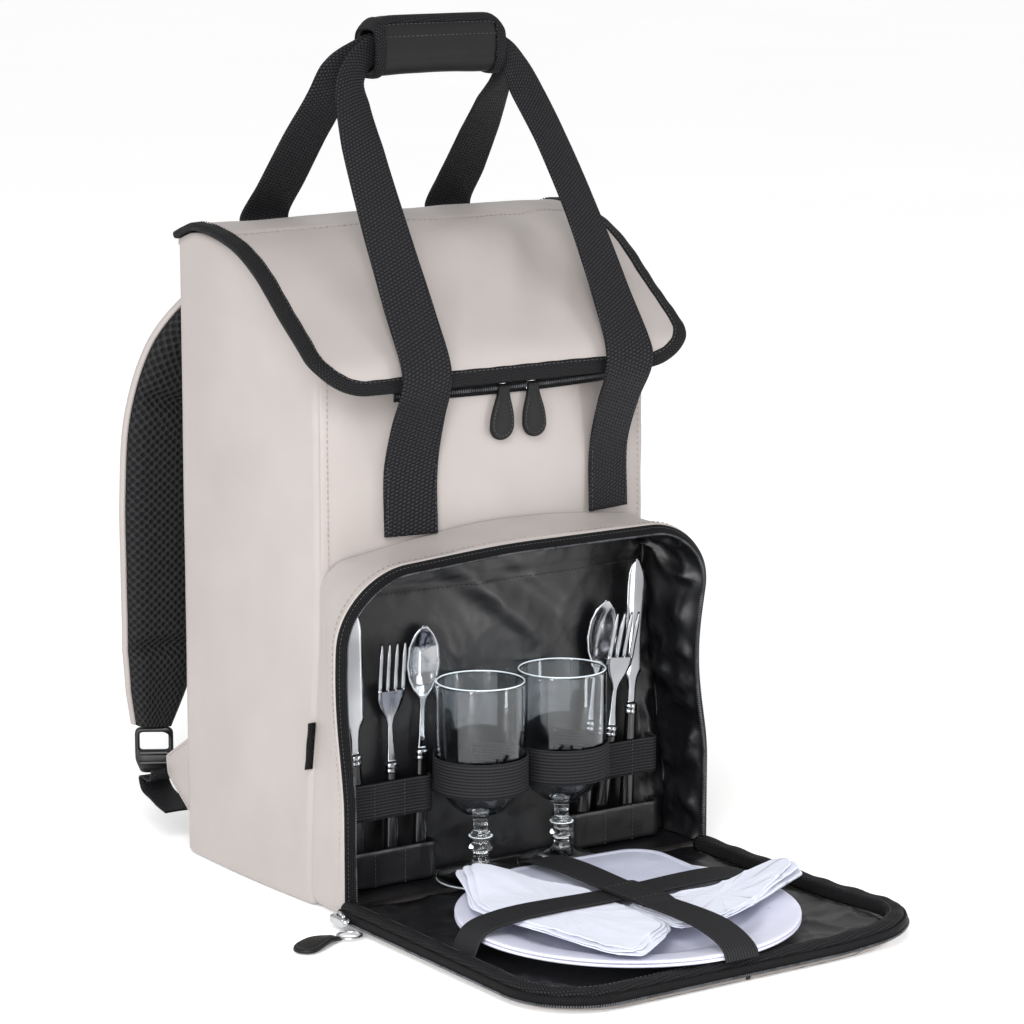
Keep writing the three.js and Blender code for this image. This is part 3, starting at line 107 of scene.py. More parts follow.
# Places at an even pitch along a path, with the direction of the path there
def evenly(path, pitch, closed=False):
    path = np.asarray(path, float)
    if closed:
        path = np.vstack([path, path[:1]])
    runs = np.linalg.norm(np.diff(path, axis=0), axis=1)
    reach = np.concatenate([[0], np.cumsum(runs)])
    count = max(2, int(reach[-1] / pitch))
    marks = np.linspace(0, reach[-1], count, endpoint=not closed)
    places = np.stack([np.interp(marks, reach, path[:, k]) for k in range(3)], axis=1)
    ahead = np.stack([np.interp(np.minimum(marks + 0.4, reach[-1]), reach, path[:, k]) for k in range(3)], axis=1)
    behind = np.stack([np.interp(np.maximum(marks - 0.4, 0), reach, path[:, k]) for k in range(3)], axis=1)
    directions = ahead - behind
    directions /= np.maximum(1e-9, np.linalg.norm(directions, axis=1))[:, None]
    return places, directions


# Mesh making

def meshPiece(name, vertices, faces, material, sleek=True):
    mesh = bpy.data.meshes.new(name)
    mesh.from_pydata([tuple(v) for v in np.asarray(vertices, float) * 0.001], [], faces)
    mesh.update()
    mesh.polygons.foreach_set("use_smooth", [sleek] * len(mesh.polygons))
    mesh.materials.append(material)
    piece = bpy.data.objects.new(name, mesh)
    bpy.context.scene.collection.objects.link(piece)
    return piece


# Cloth from rows of places. Its UV map runs across and along it in metres.
def clothPiece(name, rows, material, loop=False, ends=False, flip=False, endLoop=False):
    grid = np.asarray(rows, float)
    along, across = grid.shape[:2]
    faces, corners = [], []
    gapAcross = np.linalg.norm(np.roll(grid, -1, axis=1) - grid, axis=2).mean(axis=0)
    gapAlong = np.linalg.norm(np.roll(grid, -1, axis=0) - grid, axis=2).mean(axis=1)
    u = np.concatenate([[0], np.cumsum(gapAcross)]) * 0.001
    v = np.concatenate([[0], np.cumsum(gapAlong)]) * 0.001
    columns = across if loop else across - 1
    lines = along if endLoop else along - 1
    for j in range(lines):
        for i in range(columns):
            k, m = (i + 1) % across, (j + 1) % along
            face = [j * across + i, j * across + k, m * across + k, m * across + i]
            corner = [(u[i], v[j]), (u[i + 1], v[j]), (u[i + 1], v[j + 1]), (u[i], v[j + 1])]
            faces.append(face[::-1] if flip else face)
            corners.extend(corner[::-1] if flip else corner)
    if ends:
        for row, turned in ((0, not flip), (along - 1, flip))[1 if ends == "last" else 0:]:
            face = [row * across + i for i in range(across)]
            faces.append(face[::-1] if turned else face)
            corners.extend([(u[i], v[row]) for i in (reversed(range(across)) if turned else range(across))])
    piece = meshPiece(name, grid.reshape(-1, 3), faces, material)
    layer = piece.data.uv_layers.new(name="cloth")
    layer.data.foreach_set("uv", [c for corner in corners for c in corner])
    return piece


def thicken(piece, thickness, offset=-1.0):
    shell = piece.modifiers.new("thickness", "SOLIDIFY")
    shell.thickness = thickness * 0.001
    shell.offset = offset
    return piece


def soften(piece, levels=1):
    finer = piece.modifiers.new("softness", "SUBSURF")
    finer.levels = levels
    finer.render_levels = levels
    return piece


# Ribbon with rounded edges along stations of centre, width and direction of its width.
# hollow(v) gives how far its middle is bowed out of the flat, in millimetres.
def ribbon(name, stations, thickness, material, along=120, across=8, offset=0.0, hollow=None, wave=None):
    centres = [np.array(s["centre"], float) for s in stations]
    wides = [None if s.get("wide") is None else unit(np.array(s["wide"], float)) for s in stations]
    last = len(stations) - 1
    shares = [-0.5] + [between(-0.47, 0.47, i / across) for i in range(across + 1)] + [0.5]
    rows = []
    for j in range(along + 1):
        v = j / along
        here, tangent = curveAt(centres, v)
        low = min(last - 1, int(v * last))
        part = v * last - low
        if wides[low] is None:
            wide = unit(np.cross(tangent, (0, 1, 0)))
        else:
            wide = unit(between(wides[low], wides[low + 1], part))
        width = between(stations[low]["width"], stations[low + 1]["width"], part)
        normal = unit(np.cross(tangent, wide))
        bow = hollow(v) if hollow else 0.0
        front, back = [], []
        for k, s in enumerate(shares):
            half = 0 if k in (0, len(shares) - 1) else thickness / 2
            middle = here + wide * (s * width) + normal * (offset + bow * (1 - (2 * s) ** 2))
            if wave:
                middle = middle + normal * wave(v, s)
            front.append(middle + normal * half)
            if half:
                back.append(middle - normal * half)
        rows.append(front + back[::-1])
    return clothPiece(name, rows, material, loop=True, ends=True)


# Row of small rounded beads, for stitches and zip teeth
def beadRow(name, places, directions, length, radius, material):
    vertices, faces = [], []
    sides = 6
    for place, direction in zip(places, directions):
        direction = unit(np.array(direction, float))
        side = np.cross(direction, (0, 0, 1))
        side = unit(side) if np.linalg.norm(side) > 0.2 else unit(np.cross(direction, (0, 1, 0)))
        up = np.cross(side, direction)
        base = len(vertices)
        vertices.append(place - direction * length / 2)
        for shift in (-0.33, 0.33):
            for k in range(sides):
                angle = 2 * pi * k / sides
                around = side * cos(angle) + up * sin(angle)
                vertices.append(place + direction * length * shift + around * radius)
        vertices.append(place + direction * length / 2)
        for k in range(sides):
            m = (k + 1) % sides
            faces.append([base, base + 1 + m, base + 1 + k])
            faces.append([base + 1 + k, base + 1 + m, base + 1 + sides + m, base + 1 + sides + k])
            faces.append([base + 1 + sides + k, base + 1 + sides + m, base + 1 + 2 * sides])
    return meshPiece(name, vertices, faces, material)


def stitchRow(name, path, pitch, length, radius, material, closed=False):
    places, directions = evenly(path, pitch, closed)
    return beadRow(name, places, directions, length, radius, material)


# Round body turned about +Z from rows of radius and height
def turned(name, profile, centre, material, sides=96, closed=False):
    rows = []
    for radius, height in profile:
        rows.append([(centre[0] + radius * cos(a), centre[1] + radius * sin(a), centre[2] + height)
            for a in around(sides)])
    return clothPiece(name, rows, material, loop=True, endLoop=closed, ends=not closed)


# Every piece moves with the one body and may stand for CAD nodes, which are hidden
def fit(piece, slotName, *nodes):
    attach(piece, "root")
    if nodes:
        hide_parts(*nodes)
    return piece


# Materials

def linearColour(code):
    parts = [int(code[k:k + 2], 16) / 255 for k in (1, 3, 5)]
    return tuple(c / 12.92 if c <= 0.04045 else ((c + 0.055) / 1.055) ** 2.4 for c in parts) + (1.0,)


# Adds a node. A setting is a property, a socket or the stops of a colour ramp. A link from a node
# takes its first output, and into is the socket that the new node's first output feeds.
def addNode(tree, kind, settings=None, links=None, into=None):
    made = tree.nodes.new(kind)
    for key, value in (settings or {}).items():
        if key == "stops":
            for element, (position, code) in zip(made.color_ramp.elements, value):
                element.position, element.color = position, linearColour(code)
        elif isinstance(key, str) and hasattr(made, key):
            setattr(made, key, value)
        else:
            made.inputs[key].default_value = value
    for key, source in (links or {}).items():
        tree.links.new(source.outputs[0] if hasattr(source, "outputs") else source, made.inputs[key])
    if into is not None:
        tree.links.new(made.outputs[0], into)
    return made


# New material with its shader, and the coordinates that its patterns follow
def startMaterial(name, follows="Object", **sockets):
    material = bpy.data.materials.new(name)
    material.use_nodes = True
    tree = material.node_tree
    shader = tree.nodes["Principled BSDF"]
    for key, value in sockets.items():
        shader.inputs[key.replace("_", " ")].default_value = value
    if follows == "cloth":
        place = addNode(tree, "ShaderNodeUVMap", {"uv_map": "cloth"}).outputs["UV"]
    else:
        place = addNode(tree, "ShaderNodeTexCoord").outputs[follows]
    return material, tree, shader.inputs, place


# Texture scale for a pattern that repeats every so many millimetres
def perMillimetres(size):
    return 1000.0 / size


# A wave texture makes one band every 2 pi / 20 units at scale 1
def waveEvery(size):
    return 2 * pi / 20 * 1000.0 / size


# Polyurethane-coated polyester: soft matt skin with a hardly visible grain and slow tone changes
def coatedPolyester():
    material, tree, shader, place = startMaterial("coated_polyester_greige", Roughness=0.47, IOR=1.46,
        Sheen_Weight=0.08, Sheen_Roughness=0.5)
    tone = addNode(tree, "ShaderNodeTexNoise", {"Scale": perMillimetres(90), "Detail": 3.0}, {"Vector": place})
    addNode(tree, "ShaderNodeValToRGB", {"stops": [(0.3, "#958e8b"), (0.7, "#9d9693")]}, {"Fac": tone},
        shader["Base Color"])
    # The pressed grain is 0.3 mm in the real skin; 1.1 mm is the finest that shows
    grain = addNode(tree, "ShaderNodeTexNoise", {"Scale": perMillimetres(1.1), "Detail": 4.0, "Roughness": 0.65},
        {"Vector": place})
    handling = addNode(tree, "ShaderNodeTexNoise", {"Scale": perMillimetres(34), "Detail": 3.0}, {"Vector": place})
    fine = addNode(tree, "ShaderNodeBump", {"Strength": 0.16, "Distance": 0.00025}, {"Height": grain})
    addNode(tree, "ShaderNodeBump", {"Strength": 0.3, "Distance": 0.0012}, {"Height": handling, "Normal": fine},
        shader["Normal"])
    addNode(tree, "ShaderNodeMapRange", {"From Min": 0.3, "From Max": 0.7, "To Min": 0.43, "To Max": 0.53},
        {"Value": handling}, shader["Roughness"])
    return material


# Woven polypropylene webbing: rows of plaited yarn give short slanting glints, from the bump and from painted
# highlight, as the base colour is lighter on the yarn tops
def wovenWebbing(name, yarn, length, dark, light, slant=0.0, rough=0.62):
    material, tree, shader, place = startMaterial(name, "cloth", Roughness=rough, IOR=1.49, Specular_IOR_Level=0.12)
    turn = addNode(tree, "ShaderNodeMapping", {"Rotation": (0, 0, slant)}, {"Vector": place})
    weave = addNode(tree, "ShaderNodeTexBrick", {
        "offset": 0.5, "Scale": 1.0, "Mortar Size": yarn * 0.0003, "Mortar Smooth": 1.0,
        "Brick Width": length * 0.001, "Row Height": yarn * 0.001,
        "Color1": (1, 1, 1, 1), "Color2": (0.72, 0.72, 0.72, 1), "Mortar": (0, 0, 0, 1),}, {"Vector": turn})
    fuzz = addNode(tree, "ShaderNodeTexNoise", {"Scale": perMillimetres(0.9), "Detail": 3.0}, {"Vector": place})
    height = addNode(tree, "ShaderNodeMix", {"data_type": "RGBA", 0: 0.3},
        {6: weave, 7: fuzz.outputs["Color"]}).outputs[2]
    addNode(tree, "ShaderNodeBump", {"Strength": 1.0, "Distance": 0.0011}, {"Height": height}, shader["Normal"])
    # Painted highlight: the base colour runs from dark in the gaps to light on the yarn tops, which stand in for glints
    addNode(tree, "ShaderNodeValToRGB", {"stops": [(0, dark), (1, light)]}, {"Fac": height}, shader["Base Color"])
    return material


# Knitted elastic: fine ribs along the band with rubber cores between them
def knittedElastic():
    material, tree, shader, place = startMaterial("knitted_elastic_black", "cloth", Roughness=0.72, IOR=1.5,
        Specular_IOR_Level=0.12)
    # The real ribs are 0.8 mm apart; at 2.2 mm they just show in the render
    ribs = addNode(tree, "ShaderNodeTexWave", {"bands_direction": "X", "Scale": waveEvery(2.2)}, {"Vector": place})
    loops = addNode(tree, "ShaderNodeTexWave", {"bands_direction": "Y", "Scale": waveEvery(1.1)}, {"Vector": place})
    height = addNode(tree, "ShaderNodeMix", {"data_type": "RGBA", 0: 0.3}, {6: ribs, 7: loops}).outputs[2]
    addNode(tree, "ShaderNodeBump", {"Strength": 0.7, "Distance": 0.0005}, {"Height": height}, shader["Normal"])
    addNode(tree, "ShaderNodeValToRGB", {"stops": [(0, "#0d0d0e"), (1, "#2e2e30")]}, {"Fac": height},
        shader["Base Color"])
    return material


# Nylon taffeta lining: thin, slippery, with small crumples that catch the light
def nylonTaffeta():
    material, tree, shader, place = startMaterial("nylon_taffeta_black", Roughness=0.36, IOR=1.53,
        Specular_IOR_Level=0.42)
    creases = addNode(tree, "ShaderNodeTexNoise", {"Scale": perMillimetres(26), "Detail": 2.0, "Distortion": 0.3},
        {"Vector": place})
    # The real thread is 0.2 mm; 0.9 mm is the finest that shows
    thread = addNode(tree, "ShaderNodeTexNoise", {"Scale": perMillimetres(0.9), "Detail": 1.0}, {"Vector": place})
    fine = addNode(tree, "ShaderNodeBump", {"Strength": 0.25, "Distance": 0.0002}, {"Height": thread})
    addNode(tree, "ShaderNodeBump", {"Strength": 0.4, "Distance": 0.0025}, {"Height": creases, "Normal": fine},
        shader["Normal"])
    addNode(tree, "ShaderNodeValToRGB", {"stops": [(0, "#08080a"), (1, "#111114")]}, {"Fac": creases},
        shader["Base Color"])
    addNode(tree, "ShaderNodeMapRange", {"From Min": 0.3, "From Max": 0.7, "To Min": 0.3, "To Max": 0.44},
        {"Value": creases}, shader["Roughness"])
    return material


# Knitted polyester spacer mesh: deep round openings in rows set like a honeycomb
def spacerMesh():
    material, tree, shader, place = startMaterial("polyester_spacer_mesh_black", "cloth", Roughness=0.8, IOR=1.5,
        Specular_IOR_Level=0.25)
    # Openings 4.3 mm apart; turned by 45 degrees they stand like a honeycomb
    rows = addNode(tree, "ShaderNodeMapping", {"Rotation": (0, 0, radians(45))}, {"Vector": place})
    holes = addNode(tree, "ShaderNodeTexVoronoi", {"voronoi_dimensions": "2D", "feature": "F1",
        "Scale": perMillimetres(4.3), "Randomness": 0.12}, {"Vector": rows})
    rise = addNode(tree, "ShaderNodeMapRange", {"From Min": 0.16, "From Max": 0.5}, {"Value": holes})
    addNode(tree, "ShaderNodeBump", {"Strength": 1.0, "Distance": 0.0016}, {"Height": rise}, shader["Normal"])
    # Painted shade and highlight: the base colour is near black in the openings, as shade in their depth, and lighter
    # on the yarn between them, as glints
    addNode(tree, "ShaderNodeValToRGB", {"stops": [(0, "#040404"), (1, "#232325")]}, {"Fac": rise},
        shader["Base Color"])
    return material


# Moulded, cast and cut goods with a fine skin: one colour that varies a little, and a grain
def finished(name, dark, light, rough, ior, grain, depth, metallic=0.0, coat=0.0):
    material, tree, shader, place = startMaterial(name, Roughness=rough, Metallic=metallic, Coat_Weight=coat,
        Coat_Roughness=0.12)
    if not metallic:
        shader["IOR"].default_value = ior
    tone = addNode(tree, "ShaderNodeTexNoise", {"Scale": perMillimetres(grain * 14), "Detail": 2.0}, {"Vector": place})
    addNode(tree, "ShaderNodeValToRGB", {"stops": [(0.35, dark), (0.65, light)]}, {"Fac": tone}, shader["Base Color"])
    surface = addNode(tree, "ShaderNodeTexNoise", {"Scale": perMillimetres(grain), "Detail": 3.0}, {"Vector": place})
    addNode(tree, "ShaderNodeBump", {"Strength": 0.35, "Distance": depth * 0.001}, {"Height": surface},
        shader["Normal"])
    addNode(tree, "ShaderNodeMapRange", {"From Min": 0.3, "From Max": 0.7, "To Min": rough - 0.03,
        "To Max": rough + 0.03}, {"Value": tone}, shader["Roughness"])
    return material


# Plain-woven cotton: matt, with a slight fuzz and a fine square weave
def wovenCotton():
    material, tree, shader, place = startMaterial("woven_cotton_white", Roughness=0.88, IOR=1.5, Sheen_Weight=0.25,
        Base_Color=linearColour("#c3c6d4"))
    # Threads are 0.35 mm apart; 1.3 mm is the finest that shows
    warp, weft = [addNode(tree, "ShaderNodeTexWave", {"bands_direction": way, "Scale": waveEvery(1.3),
        "Distortion": 0.6}, {"Vector": place}) for way in "XY"]
    height = addNode(tree, "ShaderNodeMix", {"data_type": "RGBA", 0: 0.5}, {6: warp, 7: weft}).outputs[2]
    creases = addNode(tree, "ShaderNodeTexNoise", {"Scale": perMillimetres(16), "Detail": 5.0, "Distortion": 1.0},
        {"Vector": place})
    fine = addNode(tree, "ShaderNodeBump", {"Strength": 0.22, "Distance": 0.0002}, {"Height": height})
    addNode(tree, "ShaderNodeBump", {"Strength": 0.35, "Distance": 0.0015}, {"Height": creases, "Normal": fine},
        shader["Normal"])
    return material


# Injection-moulded clear polystyrene: clean and thin. Its bright rims are painted highlight, on pale opaque beads in
# another material
def clearPolystyrene():
    material, tree, shader, place = startMaterial("clear_polystyrene", Roughness=0.015, IOR=1.45,
        Specular_IOR_Level=0.1,
        Transmission_Weight=1.0, Base_Color=linearColour("#f6fafd"))
    flow = addNode(tree, "ShaderNodeTexNoise", {"Scale": perMillimetres(22), "Detail": 1.0}, {"Vector": place})
    addNode(tree, "ShaderNodeBump", {"Strength": 0.12, "Distance": 0.0006}, {"Height": flow}, shader["Normal"])
    return material


# Split leather with a pebbled black coat, as on zip pulls and the grip
def coatedLeather(name, dark, light, pebble, rough):
    material, tree, shader, place = startMaterial(name, Roughness=rough, IOR=1.5, Specular_IOR_Level=0.22)
    pebbles = addNode(tree, "ShaderNodeTexVoronoi", {"feature": "SMOOTH_F1", "Scale": perMillimetres(pebble)},
        {"Vector": place})
    tone = addNode(tree, "ShaderNodeTexNoise", {"Scale": perMillimetres(18), "Detail": 3.0}, {"Vector": place})
    fine = addNode(tree, "ShaderNodeBump", {"Strength": 0.3, "Distance": 0.0003, "invert": True}, {"Height": pebbles})
    addNode(tree, "ShaderNodeBump", {"Strength": 0.3, "Distance": 0.001}, {"Height": tone, "Normal": fine},
        shader["Normal"])
    addNode(tree, "ShaderNodeValToRGB", {"stops": [(0, dark), (1, light)]}, {"Fac": tone}, shader["Base Color"])
    return material


skin = coatedPolyester()
webbing = wovenWebbing("polypropylene_webbing_black", 2.2, 3.0, "#010102", "#2e2e31", slant=radians(30), rough=0.5)
bindingTape = wovenWebbing("polyester_binding_tape_black", 1.8, 2.4, "#010102", "#28282a", slant=radians(40),
    rough=0.55)
zipTape = wovenWebbing("polyester_zip_tape_black", 1.3, 1.9, "#020203", "#1c1c1e", rough=0.5)
elastic = knittedElastic()
taffeta = nylonTaffeta()
spacer = spacerMesh()
cotton = wovenCotton()
crystal = clearPolystyrene()
# Painted highlight: an opaque pale material for beads on the goblets' edges, standing in for the light that the
# moulding's edges gather from the whole wall and show as pale lines
crystalHighlight = finished("clear_polystyrene_painted_highlight", "#c9d3da", "#e3eaee", 0.2, 1.59, 1.0, 0.02)
pullLeather = coatedLeather("split_leather_black", "#090909", "#131313", 1.6, 0.5)
gripLeather = coatedLeather("coated_leather_black", "#0b0b0c", "#141416", 1.3, 0.52)
# Greige thread, coloured a little darker than the skin: partly its own tone, partly painted shade along the stitch
# lines
creamThread = finished("polyester_thread_greige", "#857b75", "#978d87", 0.6, 1.5, 0.8, 0.05)
blackThread = finished("polyester_thread_black", "#29292b", "#3c3c3e", 0.55, 1.5, 0.8, 0.05)
# Extruded nylon coil: smooth grey teeth that glint in a row
coilNylon = finished("nylon_coil_grey", "#26272a", "#4c4e52", 0.28, 1.53, 1.0, 0.05)
# Pressed and mirror-polished stainless steel: sharp reflections with a little haze
polishedSteel = finished("polished_stainless_steel", "#8d8e91", "#a3a4a7", 0.12, None, 3.0, 0.03, metallic=1.0)
# Glossy moulded ABS: deep black with a clear highlight
glossyABS = finished("glossy_abs_black", "#060607", "#0b0b0c", 0.16, 1.54, 2.5, 0.03, coat=0.3)
# Injection-moulded polypropylene: white with a blue cast and a soft gloss
whitePolypropylene = finished("polypropylene_white", "#c9cadb", "#d2d3e3", 0.3, 1.49, 2.0, 0.03)
greyPolypropylene = finished("polypropylene_pale_grey", "#bcbfd0", "#c4c7d8", 0.42, 1.49, 1.2, 0.06)
# Moulded acetal: hard, dull black with slightly shiny edges
mouldedAcetal = finished("moulded_acetal_black", "#0b0b0c", "#171718", 0.4, 1.48, 1.0, 0.06)
# Nickel-plated die-cast zinc: bright with soft wear
nickelPlate = finished("nickel_plated_zinc", "#b6b8bb", "#cfd0d2", 0.24, None, 2.0, 0.05, metallic=1.0)
print("materials made")

# Camera, floor and light

view = {"place": (-1.4074, -2.1769, 0.7353), "target": (-0.0201, -0.1355, 0.2689), "lens": 130.1}
lens = bpy.data.cameras.new("view")
lens.lens = view["lens"]
lens.sensor_width = 36
lens.clip_end = 200
eye = bpy.data.objects.new("view", lens)
eye.location = view["place"]
eye.rotation_euler = (Vector(view["target"]) - Vector(view["place"])).to_track_quat("-Z", "Y").to_euler()
bpy.context.scene.collection.objects.link(eye)
bpy.context.scene.camera = eye

# Seamless paper: pale, matt, faintly mottled
paper, tree, shader, place = startMaterial("backdrop_paper_white", Roughness=0.9, Emission_Color=(1, 1, 1, 1),
    Emission_Strength=0.14)
mottle = addNode(tree, "ShaderNodeTexNoise", {"Scale": 1.5}, {"Vector": place})
addNode(tree, "ShaderNodeValToRGB", {"stops": [(0, "#f9f9f9"), (1, "#fdfdfd")]}, {"Fac": mottle}, shader["Base Color"])
floor = meshPiece("floor", [(-30000, -30000, 0), (30000, -30000, 0), (30000, 30000, 0), (-30000, 30000, 0)],
    [[0, 1, 2, 3]], paper, sleek=False)

lights = [
    {"name": "key", "kind": "SUN", "from": (-0.55, -0.72, 0.62), "angle": 50, "power": 2.15},
    {"name": "softbox", "kind": "AREA", "from": (-0.95, -1.25, 1.35), "size": 0.7, "power": 13},
    {"name": "fill", "kind": "AREA", "from": (1.9, -1.9, 1.2), "size": 1.6, "power": 14},
    {"name": "rim", "kind": "AREA", "from": (-2.2, 1.2, 1.7), "size": 1.4, "power": 14},
    # Two upright strips near the floor: they draw the streaks on glass, steel and creased nylon
    {"name": "strip_right", "kind": "AREA", "from": (0.3, -0.62, 0.2), "size": 0.08, "tall": 0.4, "power": 0.75},
    {"name": "strip_left", "kind": "AREA", "from": (-0.6, -0.5, 0.2), "size": 0.08, "tall": 0.4, "power": 1.3},
]
for one in lights:
    lamp = bpy.data.lights.new(one["name"], one["kind"])
    lamp.energy = one["power"]
    if one["kind"] == "SUN":
        lamp.angle = radians(one["angle"])
    else:
        lamp.shape = "RECTANGLE" if "tall" in one else "DISK"
        lamp.size = one["size"]
        lamp.size_y = one.get("tall", one["size"])
    holder = bpy.data.objects.new(one["name"], lamp)
    holder.location = one["from"]
    aim = Vector((0, -0.1, one["from"][2] if "tall" in one else 0.25))
    holder.rotation_euler = (aim - Vector(one["from"])).to_track_quat("-Z", "Y").to_euler()
    holder.visible_camera = "tall" not in one
    bpy.context.scene.collection.objects.link(holder)
surround = bpy.data.worlds.new("studio")
surround.use_nodes = True
surround.node_tree.nodes["Background"].inputs["Color"].default_value = (1, 1, 1, 1)
surround.node_tree.nodes["Background"].inputs["Strength"].default_value = 0.6
bpy.context.scene.world = surround
bpy.context.scene.view_settings.view_transform = "Standard"
print("camera, floor and lights set")


# Bag body: the plan narrows and leans back towards the top of the front

bag = {
    "width": 303, "backWidth": 309, "depth": 171, "wall": 5,
    "topWidth": 272, "topLevel": 240, "lean": 12, "bulge": (3, 21),
    "swell": 2, "backCorner": 9, "frontCorner": 8,
    "foldDepth": 2.4, "seamGroove": 1.3,
}
halfBack = bag["backWidth"] / 2
backY = bag["depth"] / 2


def frontHalf(z):
    return between(bag["width"], bag["topWidth"], eased(z / bag["topLevel"])) / 2


def frontCornerY(z):
    return -backY + bag["lean"] * eased(z / bag["topLevel"])


def frontBulge(z):
    return between(*bag["bulge"], eased(z / bag["topLevel"]))


def frontY(x, z):
    share = min(1.0, abs(x) / frontHalf(z))
    return frontCornerY(z) - frontBulge(z) * (1 - share * share)


# Lid profile from the back edge to the front edge, as in the CAD

lidCut = {
    "top": 457, "front": 353, "overhang": 2, "thickness": 4, "arch": 20, "corner": 42,
    "tape": 12, "tapeThickness": 6,
    "rows": [(1.0, 0.94, 0.16), (0.7, 0.99, 0.02), (0.08, 1.0, 0.5), (-0.3, 0.93, 0.95),
             (-0.7, 0.68, 1.0), (-1.04, 0.38, 0.5), (-1.2, 0.2, 0.2), (-1.25, 0.0, 0.0)],
}
profileKnots = [np.array((hang * lidCut["arch"], depth * backY, between(lidCut["front"], lidCut["top"], rise)))
    for depth, rise, hang in lidCut["rows"]]
lidPlaces = np.array([curveAt(profileKnots, i / 160)[0] for i in range(161)])
lidRuns = np.concatenate([[0], np.cumsum(np.linalg.norm(np.diff(lidPlaces[:, 1:], axis=0), axis=1))])
lidLength = lidRuns[-1]
lidHalf = halfBack + lidCut["overhang"]


def sideHang(x):
    return min(1.0, abs(x) / lidHalf) ** 2.4


def lidAt(length):
    return [float(np.interp(length, lidRuns, lidPlaces[:, k])) for k in range(3)]


def lidSurface(x, length):
    hang, y, z = lidAt(min(length, lidLength))
    return np.array((x, y, z - hang * sideHang(x) - max(0.0, length - lidLength)))


def lidNormal(x, length):
    across = lidSurface(x + 1, length) - lidSurface(x - 1, length)
    along = lidSurface(x, length + 1) - lidSurface(x, length - 1)
    normal = unit(np.cross(along, across))
    return normal if normal[2] > 0 or normal[1] < 0 else -normal


def wallTop(x, y):
    drop = lidCut["thickness"] + 1 + 1.2
    heights = lidPlaces[:, 2] - lidPlaces[:, 0] * sideHang(x)
    slope = np.stack([np.gradient(lidPlaces[:, 1]), np.gradient(heights)], axis=1)
    slope /= np.linalg.norm(slope, axis=1)[:, None]
    ys = lidPlaces[:, 1] - slope[:, 1] * drop
    zs = heights + slope[:, 0] * drop
    order = np.argsort(ys)
    return float(np.interp(y, ys[order], zs[order]))


# Columns round the body: front, right corner, right side, back corner, back and so on round
def bagColumns():
    right = [("front", s) for s in np.linspace(-1, 1, 61)[1:-1]]
    half = [("corner", s) for s in np.linspace(0, 1, 7)]
    half += [("side", s) for s in np.linspace(0, 1, 34)[1:-1]]
    half += [("back corner", s) for s in np.linspace(0, 1, 8)]
    back = [("back", s) for s in np.linspace(-1, 1, 31)[1:-1]]
    columns = [(kind, s, 1) for kind, s in right] + [(kind, s, 1) for kind, s in half]
    columns += [(kind, s, 1) for kind, s in back] + [(kind, s, -1) for kind, s in half[::-1]]
    return columns


def bagPlace(kind, share, sign, z, inset):
    half, narrow = halfBack - inset, frontHalf(z) - inset
    back, front = backY - inset, frontCornerY(z) + inset
    round_ = bag["frontCorner"]
    if kind == "front":
        x = share * (narrow - round_ * 0.35)
        return x, front - frontBulge(z) * (1 - (x / narrow) ** 2)
    if kind == "corner":
        angle = share * pi / 2
        x = narrow - round_ * 0.35 + round_ * 0.35 * sin(angle)
        return sign * x, front + 0.1 + round_ * (1 - cos(angle))
    if kind == "side":
        x = between(narrow, half, share) + bag["swell"] * sin(pi * share)
        return sign * x, between(front + round_, back - bag["backCorner"], share)
    if kind == "back corner":
        angle = share * pi / 2
        return (sign * (half - bag["backCorner"] * (1 - cos(angle))), back - bag["backCorner"] * (1 - sin(angle)))
    return -share * (half - bag["backCorner"]), back


# Soft folds of the coated skin: slow hollows, slanting dents and small puckers at the seams
def bagFold(kind, share, place):
    x, _, z = place
    slow = unevenness(place, 95, 1) * 0.8 + unevenness(place, 42, 2) * 0.35
    if kind == "front":
        nearStrap = hump(abs(x - 11) - 112, 22) * hump(z - 300, 110)
        return bag["foldDepth"] * (slow * 0.5 - 0.35) - 1.6 * nearStrap
    if kind == "side":
        dent = hump(share - 0.45, 0.5) * hump(z - 330 - 40 * share, 95)
        low = hump(share - 0.25, 0.35) * hump(z - 70, 90)
        bow = sin(pi * share)
        pucker = sin(z / 7.5) * exp(-share * 14) * 0.3
        return 1.4 * bag["foldDepth"] * slow * bow - 3.2 * dent - 2.2 * low + pucker
    if kind == "corner":
        return -1.7 * bag["seamGroove"] * hump(share - 0.5, 0.4) + 0.2 * sin(z / 7.5)
    return 0.4 * slow


